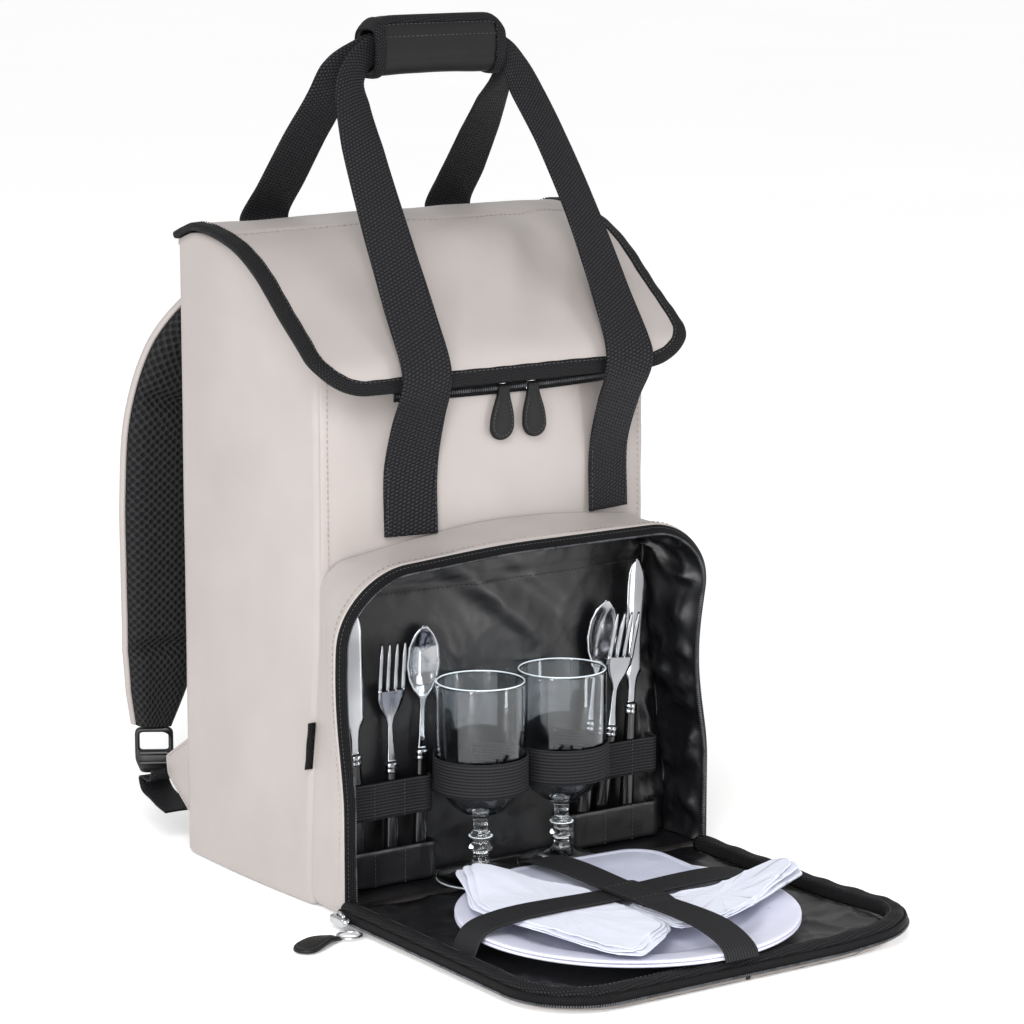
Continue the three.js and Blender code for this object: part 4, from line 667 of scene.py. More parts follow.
def makeBag():
    columns = bagColumns()
    tops = []
    for kind, s, sign in columns:
        x, y = bagPlace(kind, s, sign, 400, 0)
        tops.append(wallTop(x, y))
    steps = [(0, 9), (0.3, 4), (1.6, 1.1), (4.2, 0)]
    rows = [[(*bagPlace(kind, s, sign, z, inset), z) for kind, s, sign in columns] for z, inset in steps]
    for share in np.linspace(0, 1, 84)[1:]:
        row = []
        for (kind, s, sign), top in zip(columns, tops):
            z = between(4.2, top, share)
            row.append((*bagPlace(kind, s, sign, z, 0), z))
        rows.append(row)
    shaped = []
    for j, row in enumerate(rows):
        ring = np.array(row)
        tangent = np.roll(ring, -1, axis=0) - np.roll(ring, 1, axis=0)
        outward = np.stack([tangent[:, 1], -tangent[:, 0], np.zeros(len(ring))], axis=1)
        outward /= np.maximum(1e-9, np.linalg.norm(outward, axis=1))[:, None]
        fade = eased((j - 2) / 8) * (1 - 0.7 * eased((j - len(rows) + 7) / 6))
        for i, (kind, s, sign) in enumerate(columns):
            ring[i] += outward[i] * bagFold(kind, s, ring[i]) * fade
        shaped.append(ring)
    lip = [[(*bagPlace(kind, s, sign, top, 2.5), top + 0.4) for (kind, s, sign), top in zip(columns, tops)],
        [(*bagPlace(kind, s, sign, top, 5), top - 1.5) for (kind, s, sign), top in zip(columns, tops)],
        [(*bagPlace(kind, s, sign, top - 60, 5), top - 60) for (kind, s, sign), top in zip(columns, tops)]]
    inner = [[(*bagPlace(kind, s, sign, z, 5), z) for kind, s, sign in columns] for z in (200, 20)]
    inner.append([(*bagPlace(kind, s, sign, 7, 12), 7) for kind, s, sign in columns])
    body = clothPiece("bag_body", shaped + lip + inner, skin, loop=True, ends=True)
    fit(body, "leatherette", "body_shell")

    # Stitches down both front seams, on the panel's side of the groove
    for side in (-1, 1):
        path = []
        for z in np.linspace(8, wallTop(side * 136, -70) - 6, 60):
            x = side * (frontHalf(z) - 6.5)
            path.append((x, frontY(x, z) - 0.05 + bagFold("front", 0, (x, 0, z)) * -0.2, z))
        fit(stitchRow("bag_seam_stitches_" + ("left" if side < 0 else "right"), path, 4.2, 2.7, 0.35, creamThread),
            "leatherette")


makeBag()
print("bag body made")


# Padded back panel: three sewn cushions of spacer mesh

backPad = {"thickness": 7, "margin": 12, "channels": (0.36, 0.7), "channelWidth": 0.035}


def makeBackPad():
    half = halfBack - backPad["margin"] - bag["backCorner"] * 0.5
    low, high = backPad["margin"], wallTop(0, backY) - backPad["margin"]
    rows = []
    for v in np.linspace(0, 1, 90):
        row = []
        for u in np.linspace(-1, 1, 60):
            edge = (1 - abs(u) ** 9) * (1 - abs(2 * v - 1) ** 14)
            quilt = 1.0
            for channel in backPad["channels"]:
                quilt -= 0.72 * hump(v - channel, backPad["channelWidth"]) * (1 - 0.3 * abs(u))
            quilt -= 0.6 * hump(abs(u) - 0.3, 0.05) * (0.35 < v < 0.71)
            rise = backPad["thickness"] * (0.16 + 0.84 * edge ** 0.5 * quilt)
            rise += 0.25 * unevenness((u * 120, 3, v * 400), 30, 4) * edge
            row.append((-u * half, backY + 0.3 + rise, between(low, high, v)))
        rows.append(row)
    pad = clothPiece("back_pad", rows, spacer)
    thicken(pad, 0.9)
    fit(pad, "mesh", "back_panel")
    # Binding tape round the pad's edge
    ring = []
    for u, v in [(s, 0) for s in np.linspace(-1, 1, 30)] + [(1, s) for s in np.linspace(0, 1, 44)[1:]] \
            + [(s, 1) for s in np.linspace(1, -1, 30)[1:]] + [(-1, s) for s in np.linspace(1, 0, 44)[1:-1]]:
        ring.append((-u * half, backY + 0.3 + 1.7, between(low, high, v)))
    rows = []
    ring = np.array(ring)
    for k in range(len(ring)):
        tangent = unit(ring[(k + 1) % len(ring)] - ring[k - 1])
        outward = np.cross(tangent, (0, 1, 0))
        rows.append([ring[k] + outward * (5 * cos(a)) + np.array((0, 1, 0)) * (1.6 * sin(a)) for a in around(10)])
    fit(clothPiece("back_pad_binding", rows, bindingTape, loop=True, endLoop=True), "binding")


makeBackPad()


# Lid: a soft sheet with stitched creases, bound with black tape

def lidReach(length, inset):
    toFront = max(0.0, lidLength - inset - length)
    radius = max(1.0, lidCut["corner"] - inset)
    drawn = radius - sqrt(max(0.0, radius ** 2 - max(0.0, radius - toFront) ** 2))
    return lidHalf - inset - drawn


# Seam across the top, a little in front of the crest
def lidSeam(x):
    return 90 - 0.0012 * x * x


def lidDent(x, length):
    place = (x, length, 0)
    share = length / lidLength
    soft = unevenness(place, 70, 5) * 1.1 + unevenness(place, 30, 6) * 0.45
    slant = x + (length - 150) * 0.5
    folds = -2.0 * hump(slant - 58, 26) * hump(share - 0.62, 0.3)
    folds += -1.6 * hump(slant + 20, 22) * hump(share - 0.7, 0.24)
    folds += 1.3 * hump(x - 95 - 20 * share, 30) * hump(share - 0.5, 0.35)
    crease = -2.2 * hump(length - 13, 4) - 1.6 * hump(length - lidSeam(x), 3)
    fade = eased((lidHalf - abs(x)) / 30) * eased((lidLength - length) / 30)
    return (1.3 * soft + 2.2 * folds) * fade + crease


def makeLid():
    inset = 5
    rows = []
    for v in np.linspace(0, 1, 130):
        length = (lidLength - inset) * (1 - (1 - v) ** 1.25)
        reach = lidReach(length, inset)
        row = []
        for u in np.linspace(-1, 1, 121):
            x = reach * u
            row.append(lidSurface(x, length) + lidNormal(x, length) * lidDent(x, length))
        rows.append(row)
    # Behind, the sheet turns over the back edge to its seam
    for turn in (0.35, 0.7, 1.0):
        row = []
        for u in np.linspace(-1, 1, 121):
            x = (lidHalf - inset) * u
            top = lidSurface(x, 0)
            row.append((x, backY + 0.6 * sin(turn * pi / 2), top[2] - 1.2 - 8 * turn))
        rows.insert(0, row)
    lid = clothPiece("lid_cover", rows, skin, flip=True)
    thicken(lid, 3.2)
    fit(lid, "leatherette", "lid")

    for name, length in (("lid_stitches_back", lambda x: 11.2), ("lid_stitches_crease", lambda x: lidSeam(x) + 3.4)):
        path = [lidSurface(x, length(x)) + lidNormal(x, length(x)) * (lidDent(x, length(x)) + 0.15)
            for x in np.linspace(-lidHalf + 14, lidHalf - 14, 90)]
        fit(stitchRow(name, path, 4.4, 2.8, 0.36, creamThread), "leatherette")

    # Path of the binding: (place across, length) with the direction away from the lid
    arm = lidCut["corner"] - lidCut["tape"] / 2
    sideRun = lidLength - lidCut["corner"]
    edge = [(-(lidHalf - lidCut["tape"] / 2), s * sideRun) for s in np.linspace(0, 1, 70)]
    edge += [(-(lidHalf - lidCut["corner"]) - arm * cos(a), sideRun + arm * sin(a))
        for a in np.linspace(0, pi / 2, 30)[1:]]
    edge += [(between(-1, 1, s) * (lidHalf - lidCut["corner"]), sideRun + arm) for s in np.linspace(0, 1, 80)[1:-1]]
    left = edge[:99]
    edge += [(-x, length) for x, length in left[::-1]]
    edge = np.array(edge)
    rows, stitchLine = [], []
    for k in range(len(edge)):
        ahead = edge[min(k + 1, len(edge) - 1)] - edge[max(k - 1, 0)]
        out = np.array((-ahead[1], ahead[0])) / np.linalg.norm(ahead)
        normal = lidNormal(edge[k][0], min(edge[k][1], lidLength - 2))
        row = []
        for a in around(16):
            side = squared(cos(a), 0.55) * lidCut["tape"] / 2
            lift = squared(sin(a), 0.7) * lidCut["tapeThickness"] / 2
            place = edge[k] + out * side
            ripple = 0.25 * sin(k * 0.9) * max(0, sin(a))
            row.append(lidSurface(*place) + normal * (lift + ripple - 2))
        rows.append(row)
        inner = edge[k] - out * (lidCut["tape"] / 2 - 2.2)
        stitchLine.append(lidSurface(*inner) + normal * 1.15)
    binding = clothPiece("lid_tape", rows, bindingTape, loop=True, ends=True, flip=True)
    fit(binding, "binding", "lid_binding")
    fit(stitchRow("lid_tape_stitches", stitchLine, 3.6, 2.4, 0.34, blackThread), "binding")


makeLid()
print("lid made")

# Zip under the lid's front edge, and leather pulls as used on all sliders

lidZip = {"shift": 11, "length": 190, "tape": 9, "pullLength": 39, "pullWidth": 19, "spacing": 24}


def pullOutline(length, width, steps=10):
    neck, round_ = width * 0.22, width / 2
    side = []
    for s in np.linspace(0, 1, steps):
        a, b, c, d = (neck, 0), (neck, -length * 0.3), (round_, -length * 0.4), (round_, round_ - length)
        w = [(1 - s) ** 3, 3 * s * (1 - s) ** 2, 3 * s * s * (1 - s), s ** 3]
        side.append((sum(k * p[0] for k, p in zip(w, (a, b, c, d))), sum(k * p[1] for k, p in zip(w, (a, b, c, d)))))
    arc = [(round_ * cos(t), round_ - length + round_ * sin(t)) for t in np.linspace(0, -pi, 22)[1:-1]]
    return side + arc + [(-x, z) for x, z in side[::-1]]


# Domed leather tab with a stitched edge; place turns (x, depth, z) into the frame
def makePull(name, length, width, thickness, place, *nodes):
    outline = np.array(pullOutline(length, width))
    middle = np.array((0, -length * 0.62))

    def ringAt(inset, depth):
        return [place(x, thickness * depth, z) for x, z in outline + (middle - outline) * inset]
    profile = [(0.9, -0.5), (0.05, -0.5), (0.0, -0.5), (0.0, -0.15), (0.02, 0.3), (0.06, 0.5), (0.16, 0.47),
        (0.22, 0.36), (0.3, 0.48), (0.6, 0.56), (0.93, 0.58)]
    rows = [ringAt(inset, depth) for inset, depth in profile]
    fit(clothPiece(name, rows, pullLeather, loop=True, ends=True), "black_leather", *nodes)
    fit(stitchRow(name + "_stitches", ringAt(0.2, 0.42)[3:-3], 2.6, 1.7, 0.3, blackThread), "black_leather")


def makeLidZip():
    top = lidCut["front"] - 0.3
    rows = []
    for x in np.linspace(-lidZip["length"] / 2, lidZip["length"] / 2, 60) + lidZip["shift"]:
        rows.append([(x, frontY(x, top - drop) - 0.3 - lift, top - drop) for drop, lift in (
            (0, 0.2), (0, 1.2), (3, 1.4), (6, 1.3), (lidZip["tape"], 1.0), (lidZip["tape"], 0.2))])
    fit(clothPiece("lid_zip", rows, zipTape, loop=True, ends=True), "zip_tape", "lid_zip_tape")
    coil = [(x, frontY(x, top - 5) - 1.9, top - 5)
        for x in np.linspace(-lidZip["length"] / 2, lidZip["length"] / 2, 60) + lidZip["shift"]]
    places = evenly(coil, 1.7)[0]
    fit(beadRow("lid_zip_teeth", places, [(0, 0, 1)] * len(places), 3.2, 0.6, coilNylon), "zip_tape")
    for name, side in (("lid_pull_left", -1), ("lid_pull_right", 1)):
        centreX = lidZip["shift"] + side * lidZip["spacing"] / 2
        baseY = frontY(0, top) - 1.4 - 0.6 - 1.2
        lean = 0.05 * side

        def place(x, depth, z, centreX=centreX, baseY=baseY, lean=lean):
            return np.array((centreX + x - z * lean, baseY - depth, top - lidZip["tape"] / 4 + z))
        makePull(name, lidZip["pullLength"], lidZip["pullWidth"], 2.6, place, name)
        # Slider body between the tape and the pull
        rows = []
        for z in np.linspace(0, -9, 8):
            half = 3.4 + 1.2 * sin(pi * min(1, -z / 9))
            rows.append([(centreX + half * cos(a), baseY + 2.4 + 1.3 * sin(a), top - 1 + z) for a in around(14)])
        fit(clothPiece(name + "_slider", rows, nickelPlate, loop=True, ends=True), "nickel")


makeLidZip()


# Front compartment: a soft ring from its rim back to its root on the body

pocket = {
    "half": 153, "height": 247, "reach": 44, "corner": 52, "rootCorner": 20, "floorCorner": 12,
    "rootHeight": 256, "wall": 3, "floor": 10, "lining": 1.5, "liningGap": 0.9,
    "leftSwell": 6, "rightDent": 8, "sag": 7, "crown": 15,
    "foldDepth": 2.2, "liningFold": 2.6, "seamHeight": 217,
}
rimY = -(backY + pocket["reach"])
density = 6


def ringPath(half, height, topCorner, floorCorner):
    stations = []

    def run(start, end, out, count):
        for i in range(count * density):
            s = i / (count * density)
            stations.append((between(start[0], end[0], s), between(start[1], end[1], s), *out))

    def arc(centreX, centreZ, radius, start, end, count):
        for i in range(count * density):
            angle = between(start, end, i / (count * density))
            stations.append((centreX + radius * cos(angle), centreZ + radius * sin(angle), cos(angle), sin(angle)))
    quarter = pi / 2
    inner, upper = half - floorCorner, half - topCorner
    run((0, 0), (-inner, 0), (0, -1), 3)
    arc(-inner, floorCorner, floorCorner, -quarter, -2 * quarter, 2)
    run((-half, floorCorner), (-half, height - topCorner), (-1, 0), 6)
    arc(-upper, height - topCorner, topCorner, 2 * quarter, quarter, 4)
    run((-upper, height), (upper, height), (0, 1), 7)
    arc(upper, height - topCorner, topCorner, quarter, 0, 4)
    run((half, height - topCorner), (half, floorCorner), (1, 0), 6)
    arc(inner, floorCorner, floorCorner, 0, -quarter, 2)
    run((inner, 0), (0, 0), (0, -1), 3)
    return stations


rimPath = ringPath(pocket["half"], pocket["height"], pocket["corner"], pocket["floorCorner"])
rootPath = ringPath(bag["width"] / 2, pocket["rootHeight"], pocket["rootCorner"], pocket["floorCorner"])


def topSagAt(x, z):
    return pocket["sag"] * eased(z / pocket["height"]) * eased(-x / pocket["half"]) if x < 0 else 0.0


def rimSet(x, z):
    side = eased((abs(x) / pocket["half"] - 0.6) / 0.4)
    swell = pocket["leftSwell"] * hump(z - pocket["height"] * 0.7, pocket["height"] * 0.4) if x < 0 else 0.0
    dent = pocket["rightDent"] * hump(z - pocket["height"] * 0.6, pocket["height"] * 0.3) if x > 0 else 0.0
    return -(swell + dent) * side, -topSagAt(x, z)


def rootDrop(x, z):
    half = bag["width"] / 2
    return pocket["crown"] * (x / half) ** 2 * eased(z / pocket["rootHeight"] * 2 - 1) + topSagAt(x, z)


# Floor stations keep their own inset; towards the corners it turns smoothly into the wall's
def insetFor(station, amount, floorAmount):
    return between(amount, floorAmount, eased((-station[3] - 0.35) / 0.5))


def ringPoint(i, depth, amount, floorAmount, rootGap):
    rim, root = rimPath[i], rootPath[i]
    rimInset, rootInset = insetFor(rim, amount, floorAmount), insetFor(root, amount, floorAmount)
    setX, setZ = rimSet(rim[0], rim[1])
    rimX, rimZ = rim[0] - rim[2] * rimInset + setX, rim[1] - rim[3] * rimInset + setZ
    narrow = frontHalf(root[1]) / (bag["width"] / 2)
    rootX = root[0] * narrow - root[2] * rootInset
    rootZ = root[1] - root[3] * rootInset - rootDrop(root[0], root[1])
    rootY = frontY(rootX, rootZ) - rootGap
    return np.array((between(rimX, rootX, depth), between(rimY, rootY, depth), between(rimZ, rootZ, depth)))


def ringOut(i, depth):
    rim, root = rimPath[i], rootPath[i]
    return unit(np.array((between(rim[2], root[2], depth), 0, between(rim[3], root[3], depth))))


# The gusset's coated skin: hollows near the corners and soft cross folds
def gussetFold(i, depth, place):
    rim = rimPath[i]
    if rim[3] < -0.3:
        return 0.0
    bow = sin(pi * min(1, max(0, depth)))
    slow = unevenness(place, 48, 8) * 0.9 + unevenness(place, 20, 9) * 0.3
    upper = -1.0 * hump(rim[0] + 95, 60) * (rim[3] > 0.5) - 1.2 * hump(rim[0] - 110, 40) * (rim[3] > 0.3)
    return (pocket["foldDepth"] * slow + upper) * bow


def makeGusset():
    count = len(rimPath)
    rows = []
    for depth in np.linspace(1, 0.03, 30):
        row = []
        for i in range(count):
            place = ringPoint(i, depth, 0, 0, 1.2)
            row.append(place + ringOut(i, depth) * gussetFold(i, depth, place))
        rows.append(row)
    wall = pocket["wall"]
    for turn in np.linspace(0, pi, 9):
        row = []
        for i in range(count):
            inset = wall / 2 * (1 - cos(turn))
            place = ringPoint(i, 0, inset, inset, 1.2)
            place[1] += 1.2 - 1.2 * sin(turn)
            row.append(place)
        rows.append(row)
    for depth in (0.1, 0.4, 0.75, 1.0):
        rows.append([ringPoint(i, depth, wall, wall, 1.2) for i in range(count)])
    gusset = clothPiece("pocket_wall", rows, skin, loop=True)
    fit(gusset, "leatherette", "pocket_gusset")
    line = [ringPoint(i, 0.11, -0.1, -0.1, 0) + ringOut(i, 0.11) * 0.1 for i in range(count) if rimPath[i][3] > -0.4]
    order = [i for i in range(count) if rimPath[i][3] > -0.4]
    broken = order[-1] - order[0] >= len(order)
    first = next(k for k in range(1, len(order)) if order[k] != order[k - 1] + 1) if broken else 0
    fit(stitchRow("pocket_edge_stitches", line[first:] + line[:first], 4.2, 2.7, 0.34, creamThread), "leatherette")


makeGusset()


# Lining: crumpled taffeta down the inner walls and across the back, with a seam near the top

def liningFold(place):
    x, y, z = place
    wallLeft = eased((-x - 118) / 22)
    wallRight = eased((x - 112) / 22)
    ceiling = eased((z - 222) / 14)
    rough = crumple(place, 27, 11) * 0.6 + crumple((x, y * 0.6, z * 0.6), 16, 12) * 0.3
    slant = (x - 40) * 0.75 + (z - 165)
    bulge = 2.4 * hump(slant, 16) * hump((x + 2) + (z - 165) * 0.5, 60) - 1.4 * hump(slant - 24, 14) * hump(x - 20, 60)
    still = 0.6 + 0.4 * unevenness(place, 60, 13)
    calm = 0.2 * still if z < 118 else 0.3
    amount = calm * rough + rough * (2.5 * wallRight + 0.9 * wallLeft + 0.8 * ceiling)
    seam = -1.4 * hump(z - pocket["seamHeight"] + 3 * (x / 150) ** 2, 3.2) * (1 - wallLeft) * (1 - wallRight)
    return pocket["liningFold"] * amount * 1.5 + 1.5 * bulge * (z > 120) + seam


def makeLining():
    count = len(rimPath)
    wallInset, floorInset = pocket["wall"] + pocket["liningGap"], pocket["floor"] + pocket["liningGap"]
    rows = []
    for depth in np.linspace(0.0, 1, 24):
        row = []
        for i in range(count):
            place = ringPoint(i, depth, wallInset, floorInset, 2.4)
            inward = -ringOut(i, depth)
            onFloor = rimPath[i][3] < -0.3
            fold = 0.15 if onFloor else (
                liningFold(place) * eased(depth / 0.2) * (1 - 0.5 * eased((depth - 0.85) / 0.15)))
            row.append(place + inward * fold)
        rows.append(row)
    for share in np.linspace(0, 1, 46)[1:-1]:
        row = []
        for i in range(count):
            wall = ringPoint(i, 1, wallInset, floorInset, 2.4)
            x = wall[0] * (1 - share)
            z = between(wall[2], pocket["height"] / 2, share)
            place = np.array((x, frontY(x, z) - 2.4, z))
            edge = eased(share / 0.08)
            row.append(place - np.array((0, 1, 0)) * (liningFold(place) * (0.35 + 0.65 * edge) + 1.4))
        rows.append(row)
    cloth = clothPiece("pocket_cloth", rows, taffeta, loop=True, ends="last", flip=True)
    fit(cloth, "lining", "pocket_lining")
    line = []
    for x in np.linspace(-118, 118, 80):
        z = pocket["seamHeight"] - 3 * (x / 150) ** 2 - 3.4
        line.append((x, frontY(x, z) - 4.4 - liningFold((x, -100, z)), z))
    fit(stitchRow("pocket_cloth_stitches", line, 3.4, 2.2, 0.3, blackThread), "lining")


makeLining()


# Zip tape that stands forward from the rim, with the coil on its free edge

rimZip = {"width": 9.5, "forward": 4.4, "pitch": 1.75, "tooth": 2.6}


def rimTapePoint(i, across, lift):
    onFloor = eased((-rimPath[i][3] - 0.35) / 0.5)
    inset = 1.0 + across * rimZip["width"] * 0.62
    forward = 0.5 + rimZip["forward"] * across ** 1.3 * (1 - onFloor)
    place = ringPoint(i, 0, inset, 0.6 + across * 6.5, 0)
    place[1] = rimY - forward - lift
    place[1] += 0.35 * sin(i * 0.37) * across * (1 - onFloor)
    return place


def makeRimZip():
    count = len(rimPath)
    rows = []
    for lift, order in ((0.55, np.linspace(0, 1, 8)), (-0.55, np.linspace(1, 0, 8))):
        for across in order:
            rows.append([rimTapePoint(i, across, lift) for i in range(count)])
    tape = clothPiece("pocket_zip", rows, zipTape, loop=True, endLoop=True)
    fit(tape, "zip_tape", "pocket_zip_tape")
    kept = [i for i in range(count) if rimPath[i][3] > -0.35]
    coil = [rimTapePoint(i, 1.02, 0.4) for i in kept]
    places, directions = evenly(coil, rimZip["pitch"])
    outs = [unit(np.cross(direction, (0, 1, 0)) * 0.6 + np.array((0, -1, 0)) * 0.8) for direction in directions]
    fit(beadRow("pocket_zip_teeth", places, outs, rimZip["tooth"], 0.62, coilNylon), "zip_tape")
    line = [rimTapePoint(i, 0.3, 0.65) for i in kept]
    fit(stitchRow("pocket_zip_stitches", line, 3.0, 2.0, 0.28, blackThread), "zip_tape")


makeRimZip()
print("compartment made")


# Flap on the floor: padded panel, stuffed rim, zip round the outside

flap = {
    "length": 250, "width": 309, "shift": -3, "corner": 50, "panel": 8,
    "rimWidth": 13, "rimHeight": 11.5, "lift": 4, "liftCorner": 5.0, "foldDepth": 1.5,
}
flapBack = rimY - 3
plateCentre = np.array((-17, rimY - 23 - 115))


def flapOutline(inset, turns=26, sides=44, fronts=50):
    half, front = flap["width"] / 2 - inset, flapBack - flap["length"] + inset
    radius = flap["corner"] - inset
    points = [(-half, between(flapBack, front + radius, s)) for s in np.linspace(0, 1, sides)[:-1]]
    points += [(-half + radius * (1 - cos(a)), front + radius * (1 - sin(a))) for a in np.linspace(0, pi / 2, turns)]
    points += [(s * (half - radius), front) for s in np.linspace(-1, 1, fronts)[1:-1]]
    points += [(half - radius * (1 - cos(a)), front + radius * (1 - sin(a))) for a in np.linspace(pi / 2, 0, turns)]
    points += [(half, between(front + radius, flapBack, s)) for s in np.linspace(0, 1, sides)[1:]]
    return np.array([(x + flap["shift"], y) for x, y in points])


# The right front corner stands up a little
def cornerLift(x, y):
    return flap["liftCorner"] * eased((x - 60) / 95) * eased((-250 - y) / 130)


def flapFold(x, y):
    place = (x, y, 0)
    away = hypot(x - plateCentre[0], y - plateCentre[1])
    free = eased((away - 112) / 10)
    rough = crumple(place, 38, 21) * 1.0 + crumple(place, 19, 22) * 0.5
    return flap["foldDepth"] * (rough * 1.3 * free - 0.5) - 0.2


def makeFlap():
    inset = flap["rimWidth"] - 1.5
    half, front = flap["width"] / 2 - inset, flapBack - flap["length"] + inset
    radius = flap["corner"] - inset
    rows = []
    for share in 1 - (1 - np.linspace(0, 1, 80)) ** 1.5:
        y = between(flapBack + 1, front, share)
        drawn = max(0.0, radius - (y - front))
        reach = half - radius + sqrt(max(0.0, radius ** 2 - drawn ** 2))
        row = []
        for u in np.linspace(-1, 1, 110):
            x = u * reach + flap["shift"]
            edge = min(reach - abs(u * reach), y - front)
            height = flap["panel"] - 3.2 * (1 - eased(edge / 8)) + flapFold(x, y) * eased(edge / 12)
            if hypot(x - plateCentre[0], y - plateCentre[1]) < 118:
                height = min(height, flap["panel"] - 0.15)
            row.append((x, y, height + cornerLift(x, y) * 0.8))
        rows.append(row)
    panel = clothPiece("flap_cloth", rows, taffeta, flip=True)
    thicken(panel, 1.2)
    # Coated outer skin under the flap
    under = []
    ring = flapOutline(3)
    count = len(ring) // 2
    for share in np.linspace(0, 1, 24):
        under.append([(*(a + (b - a) * share),
             0.4 + cornerLift(*(a + (b - a) * share)) * 0.7 + 2.0 * (share in (0.0, 1.0)))
            for a, b in zip(ring[:count], ring[::-1][:count])])
    outer = clothPiece("flap_outer_skin", under, skin)
    thicken(outer, 1.0, offset=0)
    fit(panel, "lining", "flap_panel")
    fit(outer, "leatherette")

    # Stuffed rim: a soft roll with puckers where it is sewn
    sides = 18
    rows = []
    for k in range(sides):
        angle = 2 * pi * k / sides
        wide = 0.5 - 0.5 * squared(cos(angle), 0.75)
        high = 0.5 + 0.5 * squared(sin(angle), 0.8)
        line = flapOutline(wide * flap["rimWidth"])
        rows.append([(x, y, flap["lift"] + cornerLift(x, y) + high * flap["rimHeight"]
             + (0.5 * unevenness((x, y, 0), 16, 23) + 0.35 * sin(n * 0.9)) * (high > 0.4)
             - (0.9 * hump(wide - 0.72, 0.14)) * (high > 0.6)) for n, (x, y) in enumerate(line)])
    rim = clothPiece("flap_roll", np.array(rows).transpose(1, 0, 2), bindingTape, loop=True, ends=True)
    fit(rim, "binding", "flap_rim")
    line = [(x, y, flap["lift"] + cornerLift(x, y) + flap["rimHeight"] * 0.98 - 0.5)
        for x, y in flapOutline(flap["rimWidth"] * 0.72)]
    fit(stitchRow("flap_roll_stitches", line, 3.4, 2.2, 0.32, blackThread), "binding")

    # Tape and coil on the outer side, low down
    rows = []
    for out, high in ((0.2, 0.4), (1.6, 0.4), (2.6, 2.2), (2.4, 5.0), (1.4, 7.6), (0.2, 7.6)):
        rows.append([(x, y, flap["lift"] + cornerLift(x, y) + high) for x, y in flapOutline(-out)])
    tape = clothPiece("flap_zip", np.array(rows).transpose(1, 0, 2), zipTape, loop=True, ends=True)
    fit(tape, "zip_tape", "flap_zip_tape")
    coil = [(x, y, flap["lift"] + cornerLift(x, y) + 1.4) for x, y in flapOutline(-2.7)]
    places, directions = evenly(coil, rimZip["pitch"])
    outs = [unit(np.cross(direction, (0, 0, 1)) * -0.5 + np.array((0, 0, -0.8))) for direction in directions]
    fit(beadRow("flap_zip_teeth", places, outs, rimZip["tooth"], 0.62, coilNylon), "zip_tape")


makeFlap()
print("flap made")

# Plates: turned with a rolled lip; the board and napkins lie on them

plate = {"radius": 115, "height": 11, "wall": 2.2, "base": 8.3, "step": 2.5}


def makePlate(name, base, *nodes):
    r, rise = plate["radius"], plate["height"] - plate["wall"]
    knots = [np.array((p[0] * r, 0, p[1] * rise)) for p in
        ((0.0, 0), (0.3, 0), (0.6, 0), (0.66, 0.06), (0.72, 0.3), (0.79, 0.64), (0.88, 0.84), (0.975, 1.0))]
    under = [curveAt(knots, s)[0] for s in np.linspace(0, 1, 34)]
    lower = [(max(0.4, p[0]), p[2]) for p in under]
    lip = [(r - 1.2 + 1.2 * cos(a), rise + plate["wall"] / 2 + plate["wall"] / 2 * sin(a))
        for a in np.linspace(-pi / 2, pi / 2, 7)]
    upper = [(radius, height + plate["wall"]) for radius, height in lower[::-1]]
    dish = turned(name, lower + lip + upper, (*plateCentre, base), whitePolypropylene, sides=128)
    fit(dish, "plate", *nodes)


makePlate("dinner_plate_lower", plate["base"], "plate_lower")
makePlate("dinner_plate_upper", plate["base"] + plate["step"], "plate_upper")

board = {"width": 130, "depth": 142, "thickness": 2.4, "corner": 24, "turn": -0.05, "offset": (27, 42)}
rimTop = plate["base"] + plate["step"] + plate["height"]
boardTop = rimTop + 0.3 + board["thickness"]


def boardPoint(x, y, z):
    c, s = cos(board["turn"]), sin(board["turn"])
    centre = plateCentre + np.array(board["offset"])
    return (centre[0] + c * x - s * y, centre[1] + s * x + c * y, z)


def makeBoard():
    half = (board["width"] / 2, board["depth"] / 2)
    outline = []
    for signX, signY, start in ((1, -1, -0.5), (1, 1, 0), (-1, 1, 0.5), (-1, -1, 1.0)):
        for a in np.linspace(start, start + 0.5, 14):
            outline.append((signX * (half[0] - board["corner"]) + board["corner"] * cos(a * pi),
                signY * (half[1] - board["corner"]) + board["corner"] * sin(a * pi)))
    rows = []
    bottom, top = rimTop + 0.3, boardTop
    for inset, z in ((0.5, bottom), (0.012, bottom), (0.0, bottom + 0.5), (0.0, top - 0.5), (0.012, top), (0.06, top),
            (0.072, top - 0.35), (0.085, top - 0.35), (0.1, top), (0.5, top)):
        rows.append([boardPoint(x * (1 - inset), y * (1 - inset), z) for x, y in outline])
    fit(clothPiece("cutting_board", rows, greyPolypropylene, loop=True, ends=True), "board", "board")


makeBoard()

# Napkins: cotton squares folded into long pads; every fold shows as a soft layer at the edge

napkins = {
    "thickness": 3.6, "turns": [0.0, 0.05, -0.03, 0.035, -0.02], "sizes": [1.02, 0.99, 0.985, 0.95, 0.925],
    "left": [(-0.52, 0.97), (-0.3, 0.83), (-0.07, 0.38), (-0.07, -0.54), (-0.52, -0.85), (-0.63, -0.73), (-0.82, 0.36)],
    "right": [(-0.064, -0.04), (-0.064, -0.56), (0.24, -0.57), (1.1, -0.21), (1.16, -0.09), (1.08, -0.04)],
}


